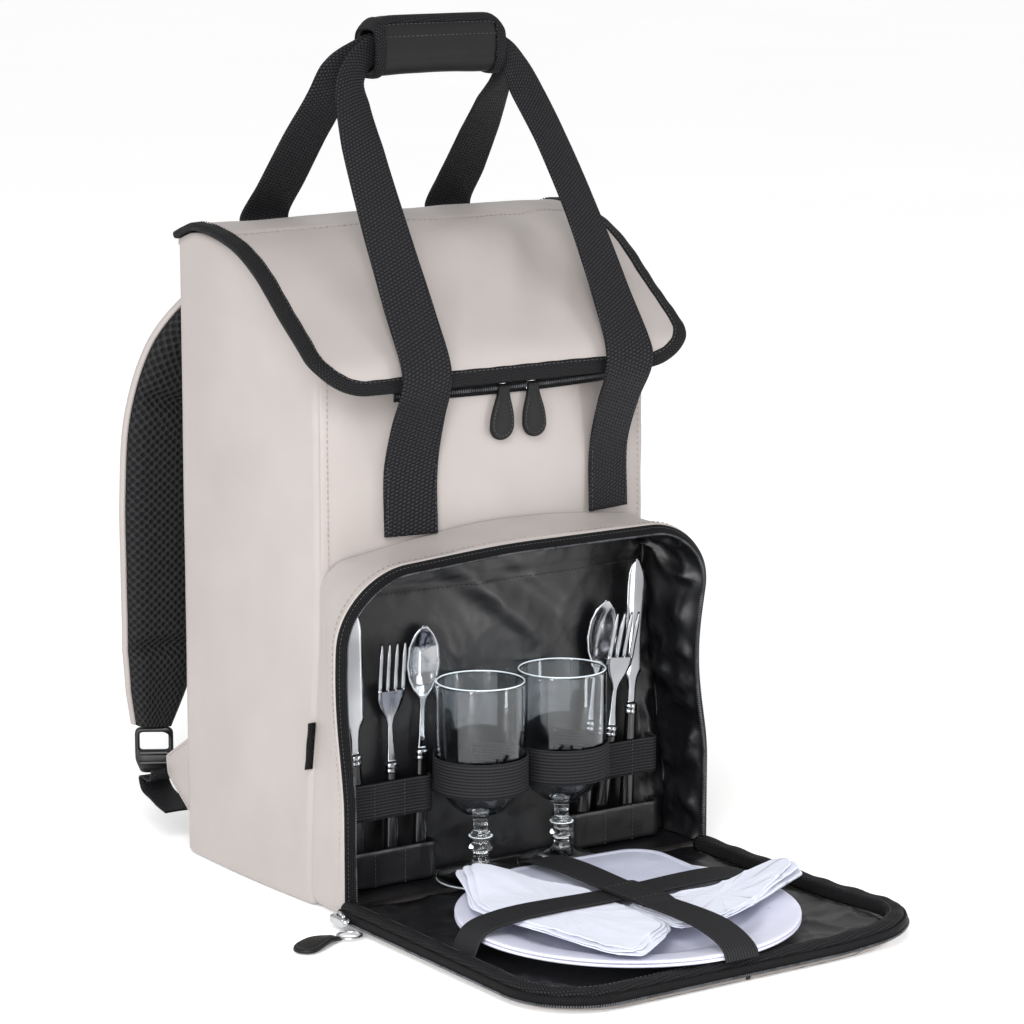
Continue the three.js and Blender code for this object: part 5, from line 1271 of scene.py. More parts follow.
def smoothOutline(corners, count=110, rounding=0.16):
    points = []
    n = len(corners)
    for k in range(n):
        before, here, after = (np.array(corners[(k + d) % n], float) for d in (-1, 0, 1))
        start, end = here + (before - here) * rounding, here + (after - here) * rounding
        for s in np.linspace(0, 1, 6):
            points.append((1 - s) ** 2 * start + 2 * s * (1 - s) * here + s * s * end)
    places = evenly([(x, y, 0) for x, y in points], 0.03, closed=True)[0]
    marks = np.linspace(0, len(places), count, endpoint=False).astype(int)
    return places[marks, :2]


# A folded cloth: stacked leaves with rolled edges that step back and fan apart at the loose tip
def makeNapkin(side, corners, tip):
    outline = smoothOutline(corners) * plate["radius"]
    middle = outline.mean(axis=0)
    vertices, faces = [], []
    shares = [0.0, 0.006, 0.018, 0.04, 0.08, 0.16, 0.3, 0.45, 0.6, 0.78, 0.96]
    swell = [0.0, 0.8, 1.35, 1.3, 1.0, 0.85, 0.8, 0.8, 0.8, 0.8, 0.8]
    leaves = len(napkins["turns"])
    step = napkins["thickness"] / leaves
    seed = 31 + (side == "right")
    for leaf, (turn, size) in enumerate(zip(napkins["turns"], napkins["sizes"])):
        turn *= 1 if side == "left" else -1
        start = len(vertices)
        edges = []
        for k, p in enumerate(outline):
            away = p - middle
            away = np.array((away[0] * cos(turn) - away[1] * sin(turn), away[0] * sin(turn) + away[1] * cos(turn)))
            ripple = 1 + 0.012 * sin(k * 0.21 + leaf * 2.1) + 0.008 * sin(k * 0.47 + leaf)
            edges.append(middle + away * size * ripple)
        for face in (-1, 1):
            for share, fat in zip(shares, swell):
                for edge in edges:
                    x, y = edge + (middle - edge) * share
                    fan = tip(x, y)
                    wave = (unevenness((x, y, leaf * 9.0), 34, seed) * 1.3
                        + crumple((x, y, leaf * 4.0), 19, seed + 5) * 1.1)
                    free = 0.25 + 0.75 * (leaf + 1) / leaves
                    z = (boardTop + 0.3 + (leaf + 0.5) * step * (1 + 1.7 * fan) + 4.0 * fan
                        + 0.9 * free * max(0.0, wave + 0.3))
                    z += face * 0.5 * step * fat * (1 + 0.8 * fan)
                    vertices.append((plateCentre[0] + x, plateCentre[1] + y, z))
        n, rings = len(outline), len(shares)
        for side2 in (0, 1):
            low = start + side2 * rings * n
            for r in range(rings - 1):
                for k in range(n):
                    m = (k + 1) % n
                    quad = [low + r * n + k, low + r * n + m, low + (r + 1) * n + m, low + (r + 1) * n + k]
                    faces.append(quad if side2 else quad[::-1])
            last = [low + (rings - 1) * n + k for k in range(n)]
            faces.append(last if side2 else last[::-1])
    cloth = meshPiece("cotton_napkin_" + side, vertices, faces, cotton)
    weld = cloth.modifiers.new("fold", "WELD")
    weld.merge_threshold = 0.00002
    fit(cloth, "cotton", "napkin_" + side)


makeNapkin("left", napkins["left"], lambda x, y: eased((y - 45) / 65) * eased((-x - 15) / 35))
makeNapkin("right", napkins["right"], lambda x, y: eased((x - 62) / 68))
pileTop = boardTop + 0.3 + napkins["thickness"]

# Crossed elastic straps, with the doubled and stitched end at the crossing

elasticBand = {"width": 27, "thickness": 1.5}


def makePlateStraps():
    half, radius = elasticBand["thickness"] / 2, plate["radius"]
    onPanel = (radius + 10, flap["panel"] + 0.3 + half)
    onRim = (radius + 3, flap["lift"] + flap["rimHeight"] + 0.3 + half)
    overPlate = rimTop + 0.9 + half
    straps = [("plate_elastic_wide", "plate_strap_wide", 0, (0, 10), 0, (*onPanel, overPlate), (*onPanel, overPlate)),
        ("plate_elastic_long", "plate_strap_long", -pi / 2, (5, 0), elasticBand["thickness"] + 0.6,
         (radius + 3, rimTop - plate["wall"], boardTop + 0.9 + half), (*onRim, overPlate)),]
    for name, node, turn, shift, lift, first, second in straps:
        high = pileTop + 0.3 + half + lift
        line = [(-first[0], first[1]), (-radius * 1.01, first[2]), (-radius * 0.78, high), (0, high),
            (radius * 0.78, high), (radius * 0.99, second[2]), (second[0], second[1])]
        c, s = cos(turn), sin(turn)
        stations = [{"centre": (plateCentre[0] + shift[0] + c * x, plateCentre[1] + shift[1] + s * x, z),
            "wide": (-s, c, 0), "width": elasticBand["width"]} for x, z in line]
        band = ribbon(name, stations, elasticBand["thickness"], elastic, along=130,
            wave=lambda v, s: 0.25 * sin(v * 19 + 4 * s))
        fit(band, "elastic", node)
        if node == "plate_strap_long":
            # Doubled end over the crossing
            doubled = []
            for x, extra in ((-24, 0.2), (-18, 1.7), (0, 1.8), (22, 1.7), (29, 0.3)):
                doubled.append({"centre": (plateCentre[0] + shift[0] + c * x, plateCentre[1] + shift[1] + s * x,
                               high + extra), "wide": (-s, c, 0), "width": elasticBand["width"] + 0.6})
            fit(ribbon("plate_elastic_end", doubled, 1.4, elastic, along=30), "elastic")
            for mark in (-15, 17):
                line = [(plateCentre[0] + shift[0] + c * mark - s * w, plateCentre[1] + shift[1] + s * mark + c * w,
                     high + 2.5) for w in np.linspace(-12, 12, 20)]
                fit(stitchRow("plate_elastic_end_stitches_" + ("near" if mark > 0 else "far"), line, 2.8, 2.0, 0.32,
                              blackThread), "elastic")


makePlateStraps()
print("outfit on the flap made")


# Goblets: thin bowls on ringed stems

goblet = {
    "height": 140, "radius": 31, "wall": 1.6, "spacing": 68, "shift": -7,
    "stem": [(1, 0.004), (1, 0.014), (0.96, 0.02), (0.7, 0.032), (0.42, 0.052), (0.26, 0.075), (0.19, 0.1),
             (0.165, 0.125),
             (0.17, 0.138), (0.25, 0.146), (0.275, 0.158), (0.25, 0.172), (0.17, 0.182), (0.17, 0.192), (0.235, 0.204),
             (0.25, 0.219), (0.225, 0.234), (0.16, 0.246), (0.155, 0.262), (0.165, 0.3), (0.22, 0.322)],
    "bowl": [(0.36, 0.336), (0.54, 0.358), (0.7, 0.39), (0.82, 0.43), (0.9, 0.48), (0.955, 0.55), (0.985, 0.62),
             (1.0, 0.7), (1.0, 0.8), (1.0, 0.9), (1.0, 0.985)],
}
compartmentFloor = pocket["floor"] + pocket["liningGap"] + pocket["lining"]


def wallFace(x, z):
    return frontY(x, z) - 2.4 - pocket["lining"]


gobletY = wallFace(goblet["shift"], compartmentFloor + goblet["height"]) - goblet["radius"] - 0.3


def makeGoblet(side, x):
    r, h, wall = goblet["radius"], goblet["height"], goblet["wall"]
    outer = [(a * r, b * h) for a, b in goblet["stem"] + goblet["bowl"]]
    lip = [(r, h - 0.5), (r - wall * 0.25, h), (r - wall * 0.75, h), (r - wall, h - 0.5)]
    inner = [(max(0.6, a * r - wall), b * h + wall * (0.4 if k > 3 else 1.0))
        for k, (a, b) in enumerate(goblet["bowl"])][::-1]
    inner.append((0.5, goblet["bowl"][0][1] * h + 1.2))
    foot = [(0.5, 1.8), (r * 0.5, 1.2), (r * 0.9, 0.35), (r * 0.97, 0.0)]
    cup = turned("picnic_goblet_" + side, foot + outer + lip + inner, (x, gobletY, compartmentFloor + 0.3), crystal)
    fit(cup, "clear", "goblet_" + side)
    # Beads of painted highlight at the lip, at the foot's edge and on the stem's rings
    for part, ring, rise, wire in (("lip", r - wall / 2, h - 0.1, 0.55), ("foot", r * 0.985, 1.0, 0.5),
            ("knop", r * 0.26, h * 0.219, 0.35)):
        circle = [(ring + wire * cos(a), rise + wire * sin(a)) for a in around(10)]
        bead = turned(f"picnic_goblet_{part}_{side}", circle, (x, gobletY, compartmentFloor + 0.3), crystalHighlight,
            closed=True)
        fit(bead, "clear")


def bandOnWall(x, z, height):
    return min(wallFace(x, z - height / 2), wallFace(x, z + height / 2)) - 0.3 - elasticBand["thickness"] / 2


def makeGobletBand(side, x):
    radius = goblet["radius"] + 0.6 + elasticBand["thickness"] / 2
    height, z, foot = 25, 89, 15
    places = [(x - foot, bandOnWall(x - foot, z, height))]
    places += [(x + radius * sin(a), gobletY - radius * cos(a)) for a in np.linspace(-2.27, 2.27, 15)]
    places.append((x + foot, bandOnWall(x + foot, z, height)))
    stations = [{"centre": (px, py, z), "wide": (0, 0, 1), "width": height} for px, py in places]
    band = ribbon("goblet_elastic_" + side, stations, elasticBand["thickness"], elastic, along=110, across=10,
        wave=lambda v, s: 0.18 * sin(v * 60) * abs(s))
    fit(band, "elastic", "goblet_band_" + side)


for side, sign in (("left", -1), ("right", 1)):
    makeGoblet(side, goblet["shift"] + sign * goblet["spacing"] / 2)
    makeGobletBand(side, goblet["shift"] + sign * goblet["spacing"] / 2)
print("goblets made")


# Cutlery: steel heads in plastic handles, held by an elastic band and a sewn sleeve

cutlery = {
    "y": -101, "bandZ": 73, "bandHeight": 26, "sleeveHeight": 26, "lift": 6,
    "joint": {"knife": 112, "fork": 98, "spoon": 104},
    "knife": (104, 15), "fork": (84, 22), "spoon": (86, 27), "spoonDip": 5,
    "steel": 2.0, "handle": (11, 8),
}
holdHalf = between(pocket["half"], bag["topWidth"] / 2, 0.65)
cutleryRows = [
    ("knife_left", "knife", (17.3 - holdHalf) / pocket["half"], -0.02, 0, 5),
    ("fork_left", "fork", -0.631, 0.01, 0, 0),
    ("spoon_left", "spoon", -0.475, 0.03, 0, 0),
    ("spoon_right", "spoon", 0.451, 0.13, 0, 0),
    ("fork_right", "fork", 0.562, 0.1, 0.07, 0),
    ("knife_right", "knife", 0.68, 0.05, 0, 0),
]


# Outline of a head from its handle up: half widths along it, and tines for a fork
def headWidth(kind, t):
    if kind == "knife":
        marks, halves = (0, 0.1, 0.16, 0.22, 0.82, 0.9, 0.96, 1), (0.42, 0.42, 0.55, 0.98, 1.0, 0.93, 0.72, 0.1)
    elif kind == "fork":
        marks, halves = (0, 0.12, 0.3, 0.36, 0.44, 0.52, 0.62, 1), (0.3, 0.2, 0.16, 0.3, 0.72, 0.97, 1.0, 0.93)
    else:
        marks = (0, 0.12, 0.34, 0.4, 0.47, 0.56, 0.68, 0.82, 0.92, 0.98, 1)
        halves = (0.24, 0.16, 0.13, 0.2, 0.55, 0.84, 1.0, 0.9, 0.62, 0.28, 0.04)
    return float(np.interp(t, marks, halves))


def headDepth(kind, t):
    if kind == "fork":
        return 2.6 * sin(pi * min(1, t / 0.62)) * 0.9 - 2.2 * eased((t - 0.6) / 0.4)
    if kind == "spoon":
        return 0.8 * sin(pi * min(1, t / 0.45))
    return 0.0


def makeHead(name, kind, place):
    length, width = cutlery[kind]
    half, thick = width / 2, cutlery["steel"]
    vertices, faces = [], []

    def strip(left, right, start, end, steps, across=8):
        base = len(vertices)
        for j in range(steps + 1):
            t = between(start, end, j / steps)
            a, b = left(t), right(t)
            for layer in (0, 1):
                for i in range(across + 1):
                    s = i / across
                    x = between(a, b, s)
                    edge = min(1.0, min(s, 1 - s) * across)
                    dip = 0.0
                    if kind == "spoon":
                        w = max(0.3, headWidth(kind, t) * half)
                        bowl = eased((t - 0.42) / 0.2) * eased((1.0 - t) / 0.22)
                        dip = cutlery["spoonDip"] * bowl * (1 - (x / w) ** 2)
                    bevel = 0.4 + 0.6 * edge
                    if kind == "knife" and t > 0.2:
                        bevel = between(0.12, 1.0, min(1, (x + half) / 5.0)) if x < half - 1 else 0.9
                    y = headDepth(kind, t) + dip + (0.5 - layer) * thick * bevel
                    vertices.append(place(x, y, t * length))
        row = 2 * (across + 1)
        for j in range(steps):
            for i in range(across):
                a0, b0 = base + j * row + i, base + (j + 1) * row + i
                faces.append([a0, a0 + 1, b0 + 1, b0])
                a1, b1 = a0 + across + 1, b0 + across + 1
                faces.append([a1, b1, b1 + 1, a1 + 1])
            for i, turn in ((0, False), (across, True)):
                a0, b0 = base + j * row + i, base + (j + 1) * row + i
                a1, b1 = a0 + across + 1, b0 + across + 1
                quad = [a0, b0, b1, a1]
                faces.append(quad[::-1] if turn else quad)
        for j, turn in ((0, True), (steps, False)):
            quads = []
            for i in range(across):
                a0 = base + j * row + i
                quads.append([a0, a0 + 1, a0 + across + 2, a0 + across + 1])
            faces.extend(q[::-1] if not turn else q for q in quads)

    if kind == "knife":
        strip(lambda t: -headWidth(kind, t) * half,
            lambda t: headWidth(kind, t) * half * (0.97 if t < 0.8 else 1 - 0.9 * ((t - 0.8) / 0.2) ** 2.2), 0, 1, 60)
    elif kind == "spoon":
        strip(lambda t: -headWidth(kind, t) * half, lambda t: headWidth(kind, t) * half, 0, 1, 70, 12)
    else:
        strip(lambda t: -headWidth(kind, t) * half, lambda t: headWidth(kind, t) * half, 0, 0.6, 44, 12)
        pitch = 2 * half / (4 - 0.42)
        for n in range(4):
            right = half - n * pitch
            wide = pitch * 0.58
            strip(lambda t, right=right, wide=wide: right - wide * (1 - 0.3 * eased((t - 0.85) / 0.15)),
                lambda t, right=right, wide=wide: right - wide * 0.3 * eased((t - 0.85) / 0.15), 0.585, 0.99, 22, 3)
    head = meshPiece(name, vertices, faces, polishedSteel)
    return head


def makeCutlery():
    for name, kind, across, tilt, lean, sink in cutleryRows:
        origin = np.array((across * pocket["half"], cutlery["y"] + lean * cutlery["bandHeight"] / 2, cutlery["bandZ"]))
        ct, st, cl, sl = cos(tilt), sin(tilt), cos(lean), sin(lean)

        def place(x, y, z):
            y, z = y * cl - z * sl, y * sl + z * cl
            return origin + np.array((x * ct + z * st, y, -x * st + z * ct))
        top = cutlery["joint"][kind] - sink - cutlery["bandZ"]
        length = cutlery["joint"][kind] - sink - compartmentFloor - cutlery["lift"]
        wide, deep = cutlery["handle"]
        rows = []
        profile = [(0.0, 0.3), (0.008, 0.62), (0.03, 0.86), (0.08, 0.97), (0.2, 1.0), (0.5, 0.93), (0.8, 0.8),
            (0.93, 0.76),
            (0.965, 0.78), (0.985, 0.74), (1.0, 0.66)]
        for t, girth in profile:
            rows.append([place(wide / 2 * girth * squared(cos(a), 0.85), deep / 2 * girth * squared(sin(a), 0.85),
                      top - length + t * length) for a in around(24)])
        grip = soften(clothPiece(name + "_grip", rows, glossyABS, loop=True, ends=True), 1)
        fit(grip, "handle", name + "_handle")
        # Bright collar where the head goes into the handle
        rows = []
        for t, girth in ((-7.5, 0.86), (-7.3, 0.92), (-5.5, 0.9), (-5.0, 0.84), (-4.4, 0.84), (-4.0, 0.92), (-1.2, 0.9),
                (-0.6, 0.8), (0.4, 0.55)):
            rows.append([place(wide / 2 * girth * cos(a), deep / 2 * girth * sin(a), top + t) for a in around(24)])
        fit(clothPiece(name + "_collar", rows, polishedSteel, loop=True, ends=True), "steel")

        def headPlace(x, y, z):
            return place(x, y, top + 0.2 + z)
        fit(makeHead(name + "_head", kind, headPlace), "steel", name)


def makeHeldBand(name, node, start, end, front, z, height, pleats, material, slotName):
    rows = [(0, 0), (0.03, 0.95), (0.2, 1), (0.5, 1), (0.8, 1), (0.97, 0.95), (1, 0)]
    stations = []
    for across, out in rows:
        x = between(start, end, across)
        stations.append({"centre": (x, between(bandOnWall(x, z, height), front, out), z), "wide": (0, 0, 1),
            "width": height})
    band = ribbon(name, stations, elasticBand["thickness"], material, along=140, across=10,
        wave=lambda v, s: 0.5 * max(0, sin(v * pi * pleats)) ** 2 - 0.2)
    fit(band, slotName, node)
    return band


def makeCutleryBands():
    deep = cutlery["handle"][1]
    bandFront = cutlery["y"] - 0.88 * deep / 2 - elasticBand["thickness"] / 2 - 0.3
    sleeveFront = cutlery["y"] - deep / 2 - elasticBand["thickness"] / 2 - 0.3
    for side, band, sleeve in (("left", (-0.9, -0.425), (-0.91, -0.408)), ("right", (0.366, 0.83), (0.327, 0.843))):
        half = pocket["half"]
        makeHeldBand("cutlery_elastic_" + side, "cutlery_band_" + side, band[0] * half, band[1] * half, bandFront,
            cutlery["bandZ"], cutlery["bandHeight"], 6, elastic, "elastic")
        makeHeldBand("cutlery_pocket_" + side, "cutlery_sleeve_" + side, sleeve[0] * half, sleeve[1] * half,
            sleeveFront,
            compartmentFloor + 0.3 + cutlery["sleeveHeight"] / 2, cutlery["sleeveHeight"], 6, taffeta, "lining")
        for k in (1, 2):
            x = between(band[0], band[1], k / 3) * half
            for low, high, front, what in ((61, 85, bandFront, "elastic"), (13.5, 38, sleeveFront, "pocket")):
                line = [(x, front - 1.0, z) for z in np.linspace(low, high, 12)]
                fit(stitchRow(f"cutlery_{what}_stitches_{side}_{k}", line, 2.6, 1.8, 0.3, blackThread), "lining")


makeCutlery()
makeCutleryBands()
print("cutlery made")

# Carry handles: long webbing loops that draw together and fold into the grip

carry = {
    "width": 40, "thickness": 2.4, "gripWidth": 107, "gripHeight": 42, "gripThickness": 28, "gripTop": 598,
    "gripShift": 1, "gripY": -4, "fold": 0.5, "step": 2.2, "sway": 6,
    "front": {"halfSpan": 84, "shift": 11}, "back": {"halfSpan": 78, "shift": -3},
    "frontRows": [(0, 1, 0, 1, 0, 0, 0), (0.063, 1.01, 0, 1, 0, 0, 0), (0.246, 0.84, 0.02, 0.93, 0, 0.15, 0.5),
                  (0.487, 0.58, 0.07, 0.84, 0, 0.2, 1), (0.71, 0.31, 0.2, 0.77, 0.05, 0.2, 1.1),
                  (0.85, 0.13, 0.37, 0.68, 0.2, 0.1, 0.8), (0.92, 0.05, 0.52, 0.56, 0.42, 0, 0.3),
                  (0.97, 0.015, 0.8, 0.5, 0.68, 0, 0)],
    "backRows": [(-0.127, 1, 0, 1, 0, 0, 0), (-0.016, 1, 0, 1, 0, 0, 0), (0.032, 1.005, 0.01, 1, 0, 0, 0),
                 (0.23, 0.76, 0.08, 0.97, 0, 0, 0.15), (0.5, 0.41, 0.18, 0.88, 0.06, 0, 0.65),
                 (0.715, 0.14, 0.3, 0.76, 0.2, 0, 1), (0.875, 0.04, 0.32, 0.56, 0.42, 0, 0.6),
                 (0.96, 0.01, 0.76, 0.5, 0.7, 0, 0.15)],
}
gripMiddle = carry["gripTop"] - carry["gripHeight"] / 2
strapGap = 0.3 + carry["thickness"] / 2


def handleStation(sign, span, y, z, draw, width, turn, twist=0.0, sway=0.0, slope=0.0):
    reach = between(span["halfSpan"], carry["gripWidth"] / 2 - 2, draw)
    x = between(span["shift"], carry["gripShift"], min(1, 2 * draw)) + sign * reach - sway * carry["sway"]
    fall = slope * (frontY(x + 1, z) - frontY(x - 1, z)) / 2
    angle = turn * pi / 2
    return {"centre": (x, y(x), z), "wide": (-sign * cos(angle), -sign * fall - twist, -sin(angle)),
        "width": carry["width"] * width}


def handleRow(row, sign, base, foot, grip, span):
    rise, stand, draw, width, turn, twist, sway = row
    return handleStation(sign, span, lambda x: between(grip, foot, stand), between(base, gripMiddle, rise),
        draw, width, turn, twist, sway)


def makeHandle(name, node, stationsOf, grip, along):
    middle = {"centre": (carry["gripShift"], grip, gripMiddle), "wide": (0, 0, -1),
        "width": carry["width"] * carry["fold"]}
    stations = stationsOf(-1) + [middle] + stationsOf(1)[::-1]

    # Where the webbing narrows it is folded lengthwise, so its middle bows out
    def hollow(v):
        place = v * (len(stations) - 1)
        low = min(len(stations) - 2, int(place))
        width = between(stations[low]["width"], stations[low + 1]["width"], place - low) / carry["width"]
        near = abs(v - 0.5) * 2
        return -2.6 * eased((0.95 - width) / 0.4) * eased((near - 0.07) / 0.08)
    band = ribbon(name, stations, carry["thickness"], webbing, along=along, across=12, hollow=hollow,
        wave=lambda v, s: 0.15 * sin(v * 37 + 2 * s))
    fit(band, "webbing", node)


def makeHandles():
    inGrip = (1, 0, 1.3, carry["fold"], 1, 0, 0)
    lipY = lidCut["rows"][-1][0] * backY - 1 - strapGap - 1.2
    span, grip = carry["front"], carry["gripY"] - carry["step"]

    def footZ(sign):
        return pocket["rootHeight"] + 1 - 0.8 * rootDrop(span["shift"] + sign * span["halfSpan"], pocket["rootHeight"])

    def sewn(sign, share, slope, free):
        z = between(footZ(sign), lidCut["front"], share)
        return handleStation(sign, span, lambda x: between(frontY(x, z) - 1.2 - strapGap, lipY, free), z, 0, 1, 0,
            slope=slope)

    def frontStations(sign):
        return [sewn(sign, 0, 1, 0), sewn(sign, 0.45, 1, 0), sewn(sign, 0.78, 0.5, 0.5)] \
            + [handleRow(row, sign, lidCut["front"], lipY, grip, span) for row in carry["frontRows"] + [inGrip]]
    makeHandle("front_webbing", "front_handle", frontStations, grip, 330)

    backFoot = backY + 0.6 + strapGap
    lidBack = between(lidCut["front"], lidCut["top"], lidCut["rows"][0][1])
    backGrip = carry["gripY"] + carry["step"]

    def backStations(sign):
        return [handleRow(row, sign, lidBack, backFoot, backGrip, carry["back"])
            for row in carry["backRows"] + [inGrip]]
    makeHandle("back_webbing", "back_handle", backStations, backGrip, 280)

    # Side stitching where the front webbing is sewn to the panel
    for sign in (-1, 1):
        for edge in (-1, 1):
            line = []
            for share in np.linspace(0.03, 0.5, 30):
                station = sewn(sign, share, 1, 0)
                wide = unit(np.array(station["wide"]))
                line.append(np.array(station["centre"]) + wide * edge * 17.6
                    - np.array((0, carry["thickness"] / 2 + 0.1, 0)))
            fit(stitchRow(f"front_webbing_stitches_{'left' if sign < 0 else 'right'}_{'out' if edge < 0 else 'in'}",
                line, 3.4, 2.3, 0.32, blackThread), "webbing")


makeHandles()


# Grip: leather closed round both webbings, its ends and top edge bound in woven tape

def gripPoint(u, angle, swell=0.0):
    c, d = cos(angle), sin(angle)
    atEnd = (2 * u - 1) ** 6
    soft = 1 - 0.06 * atEnd
    halfY = carry["gripThickness"] / 2 * soft + swell
    halfZ = carry["gripHeight"] / 2 * soft + swell
    x = carry["gripShift"] + (u - 0.5) * carry["gripWidth"]
    y = carry["gripY"] + squared(c, 0.7) * halfY
    z = gripMiddle + squared(d, 0.7) * halfZ
    corner = max(0.0, abs(2 * u - 1) - 0.72) / 0.28
    z -= (d > 0) * 7.5 * corner ** 2.4 * d
    z += 1.8 * (1 - (2 * u - 1) ** 2) * max(0, -d)
    return np.array((x, y, z))


def makeGrip():
    rows = []
    for u in np.linspace(0.005, 0.995, 60):
        row = []
        for a in around(64):
            dent = 0.5 * unevenness((u * 107, cos(a) * 14, sin(a) * 21), 26, 41)
            groove = -0.9 * hump(a - 2 * pi * 0.54, 0.09)
            row.append(gripPoint(u, a, dent + groove))
        rows.append(row)
    sleeve = clothPiece("grip_sleeve", rows, gripLeather, loop=True)
    thicken(sleeve, 3.0, offset=-1)
    fit(sleeve, "black_leather", "grip_wrap")
    # Tape round both mouths and along the top front edge
    for name, u, span in (("grip_tape_left", 0.035, 0.04), ("grip_tape_right", 0.965, 0.04)):
        rows = []
        for k in around(12):
            across, lift = cos(k) * span, 0.7 + 1.3 * sin(k)
            rows.append([gripPoint(min(1.0, max(0.0, u + across)), a, lift) for a in around(64)])
        fit(clothPiece(name, rows, bindingTape, loop=True, endLoop=True), "binding")
    rows = []
    for u in np.linspace(0.03, 0.97, 50):
            rows.append([gripPoint(u, pi * 0.67 + 0.3 * cos(k), 0.6 + 1.5 * sin(k)) for k in around(12)])
    fit(clothPiece("grip_tape_top", rows, bindingTape, loop=True, ends=True), "binding")
    for name, angle in (("grip_stitches_top", pi * 0.775), ("grip_stitches_middle", pi * 0.93)):
        line = [gripPoint(u, angle, 0.15) for u in np.linspace(0.08, 0.92, 60)]
        fit(stitchRow(name, line, 3.4, 2.3, 0.34, blackThread), "black_leather")


makeGrip()
print("carry handles made")


# Shoulder straps: a coated outer face, foam with spacer mesh towards the wearer

shoulder = {
    "half": 34, "thickness": 13, "top": 408, "bottom": 80, "standOff": 62, "hem": 3,
    "rows": [(0.475, 0, 1, 0.76), (0.647, 0.36, 0.914, 0.94), (0.785, 0.66, 0.821, 1), (0.871, 0.8, 0.691, 1),
             (0.898, 0.84, 0.512, 1), (0.908, 0.84, 0.327, 0.96), (0.92, 0.88, 0.173, 0.88),
             (0.94, 0.94, 0.074, 0.68), (0.955, 1, 0, 0.46)],
    "creases": (0.34, 0.74), "creaseWidth": 0.028,
}


def makeShoulderStrap(side, sign):
    nearest = backPad["thickness"] + 0.6 + shoulder["thickness"] / 2
    centres = [np.array((sign * across * bag["width"] / 2, backY + between(nearest, shoulder["standOff"], stand),
                  between(shoulder["bottom"], shoulder["top"], rise)))
        for across, stand, rise, half in shoulder["rows"]]
    halves = [shoulder["half"] * half for across, stand, rise, half in shoulder["rows"]]
    last = len(centres) - 1
    outer, inner, hems = [], [], []
    for j in range(151):
        v = j / 150
        here, tangent = curveAt(centres, v)
        low = min(last - 1, int(v * last))
        half = between(halves[low], halves[low + 1], v * last - low)
        wide = unit(np.cross(tangent, (0, 1, 0)))
        normal = unit(np.cross(tangent, wide))
        pinch = sum(hump(v - c, shoulder["creaseWidth"]) for c in shoulder["creases"])
        skinRow, meshRow = [], []
        for s in np.linspace(-1, 1, 27):
            crown = (1 - abs(s) ** 5)
            slow = 0.6 * unevenness((s * 34, v * 380, sign * 9), 42, 51)
            skinLift = (-(shoulder["thickness"] / 2 - 0.4) * (0.55 + 0.45 * crown) + 2.2 * pinch * crown
                - slow * crown * 0.6)
            skinRow.append(here + wide * (s * half) + normal * skinLift)
        for s in np.linspace(-1, 1, 35):
            crown = (1 - abs(s) ** 6) ** 0.7
            fold = 5.0 * pinch * crown * (1 - 0.25 * abs(s))
            slow = 0.5 * unevenness((s * 34, v * 380, sign * 5), 30, 52)
            lift = -shoulder["thickness"] * 0.18 + (shoulder["thickness"] * 0.66 - fold + slow) * crown
            meshRow.append(here + wide * (s * (half - shoulder["hem"] * 0.7)) + normal * lift)
        outer.append(skinRow)
        inner.append(meshRow)
        for edge in (-1, 1):
            hems.append((edge, here + wide * (edge * (half - 0.6)) + normal * (-shoulder["thickness"] * 0.24), wide,
                normal, v))
    face = clothPiece("shoulder_skin_" + side, outer, skin, flip=True)
    thicken(face, 1.6)
    pad = clothPiece("shoulder_mesh_" + side, inner, spacer)
    thicken(pad, 1.2)
    fit(face, "leatherette", "shoulder_strap_" + side)
    fit(pad, "mesh", "strap_mesh_" + side)
    # Rolled hem that joins both faces along each edge
    for edge in (-1, 1):
        rows = []
        for which, middle, wide, normal, v in hems:
            if which == edge:
                rows.append([middle + wide * (2.1 * cos(a)) + normal * ((3.4 - 0.6 * v) * sin(a))
                    for a in around(12)])
        fit(clothPiece(f"shoulder_hem_{side}_{'inner' if edge == sign else 'outer'}", rows, skin, loop=True, ends=True),
            "leatherette")


makeShoulderStrap("left", -1)
makeShoulderStrap("right", 1)


# Lower end of each strap: ladder-lock buckle, webbing tail and the sewn anchor tab

anchor = {"length": 58, "top": 84, "tip": 56, "tipHeight": 14, "reach": 36, "thickness": 3, "inset": 6.5}
buckle = {"width": 28, "height": 34, "bar": 3.5, "gap": 2.2, "thickness": 5, "turn": 0.55}
tail = {"width": 25, "end": 26, "length": 46, "spread": 5}


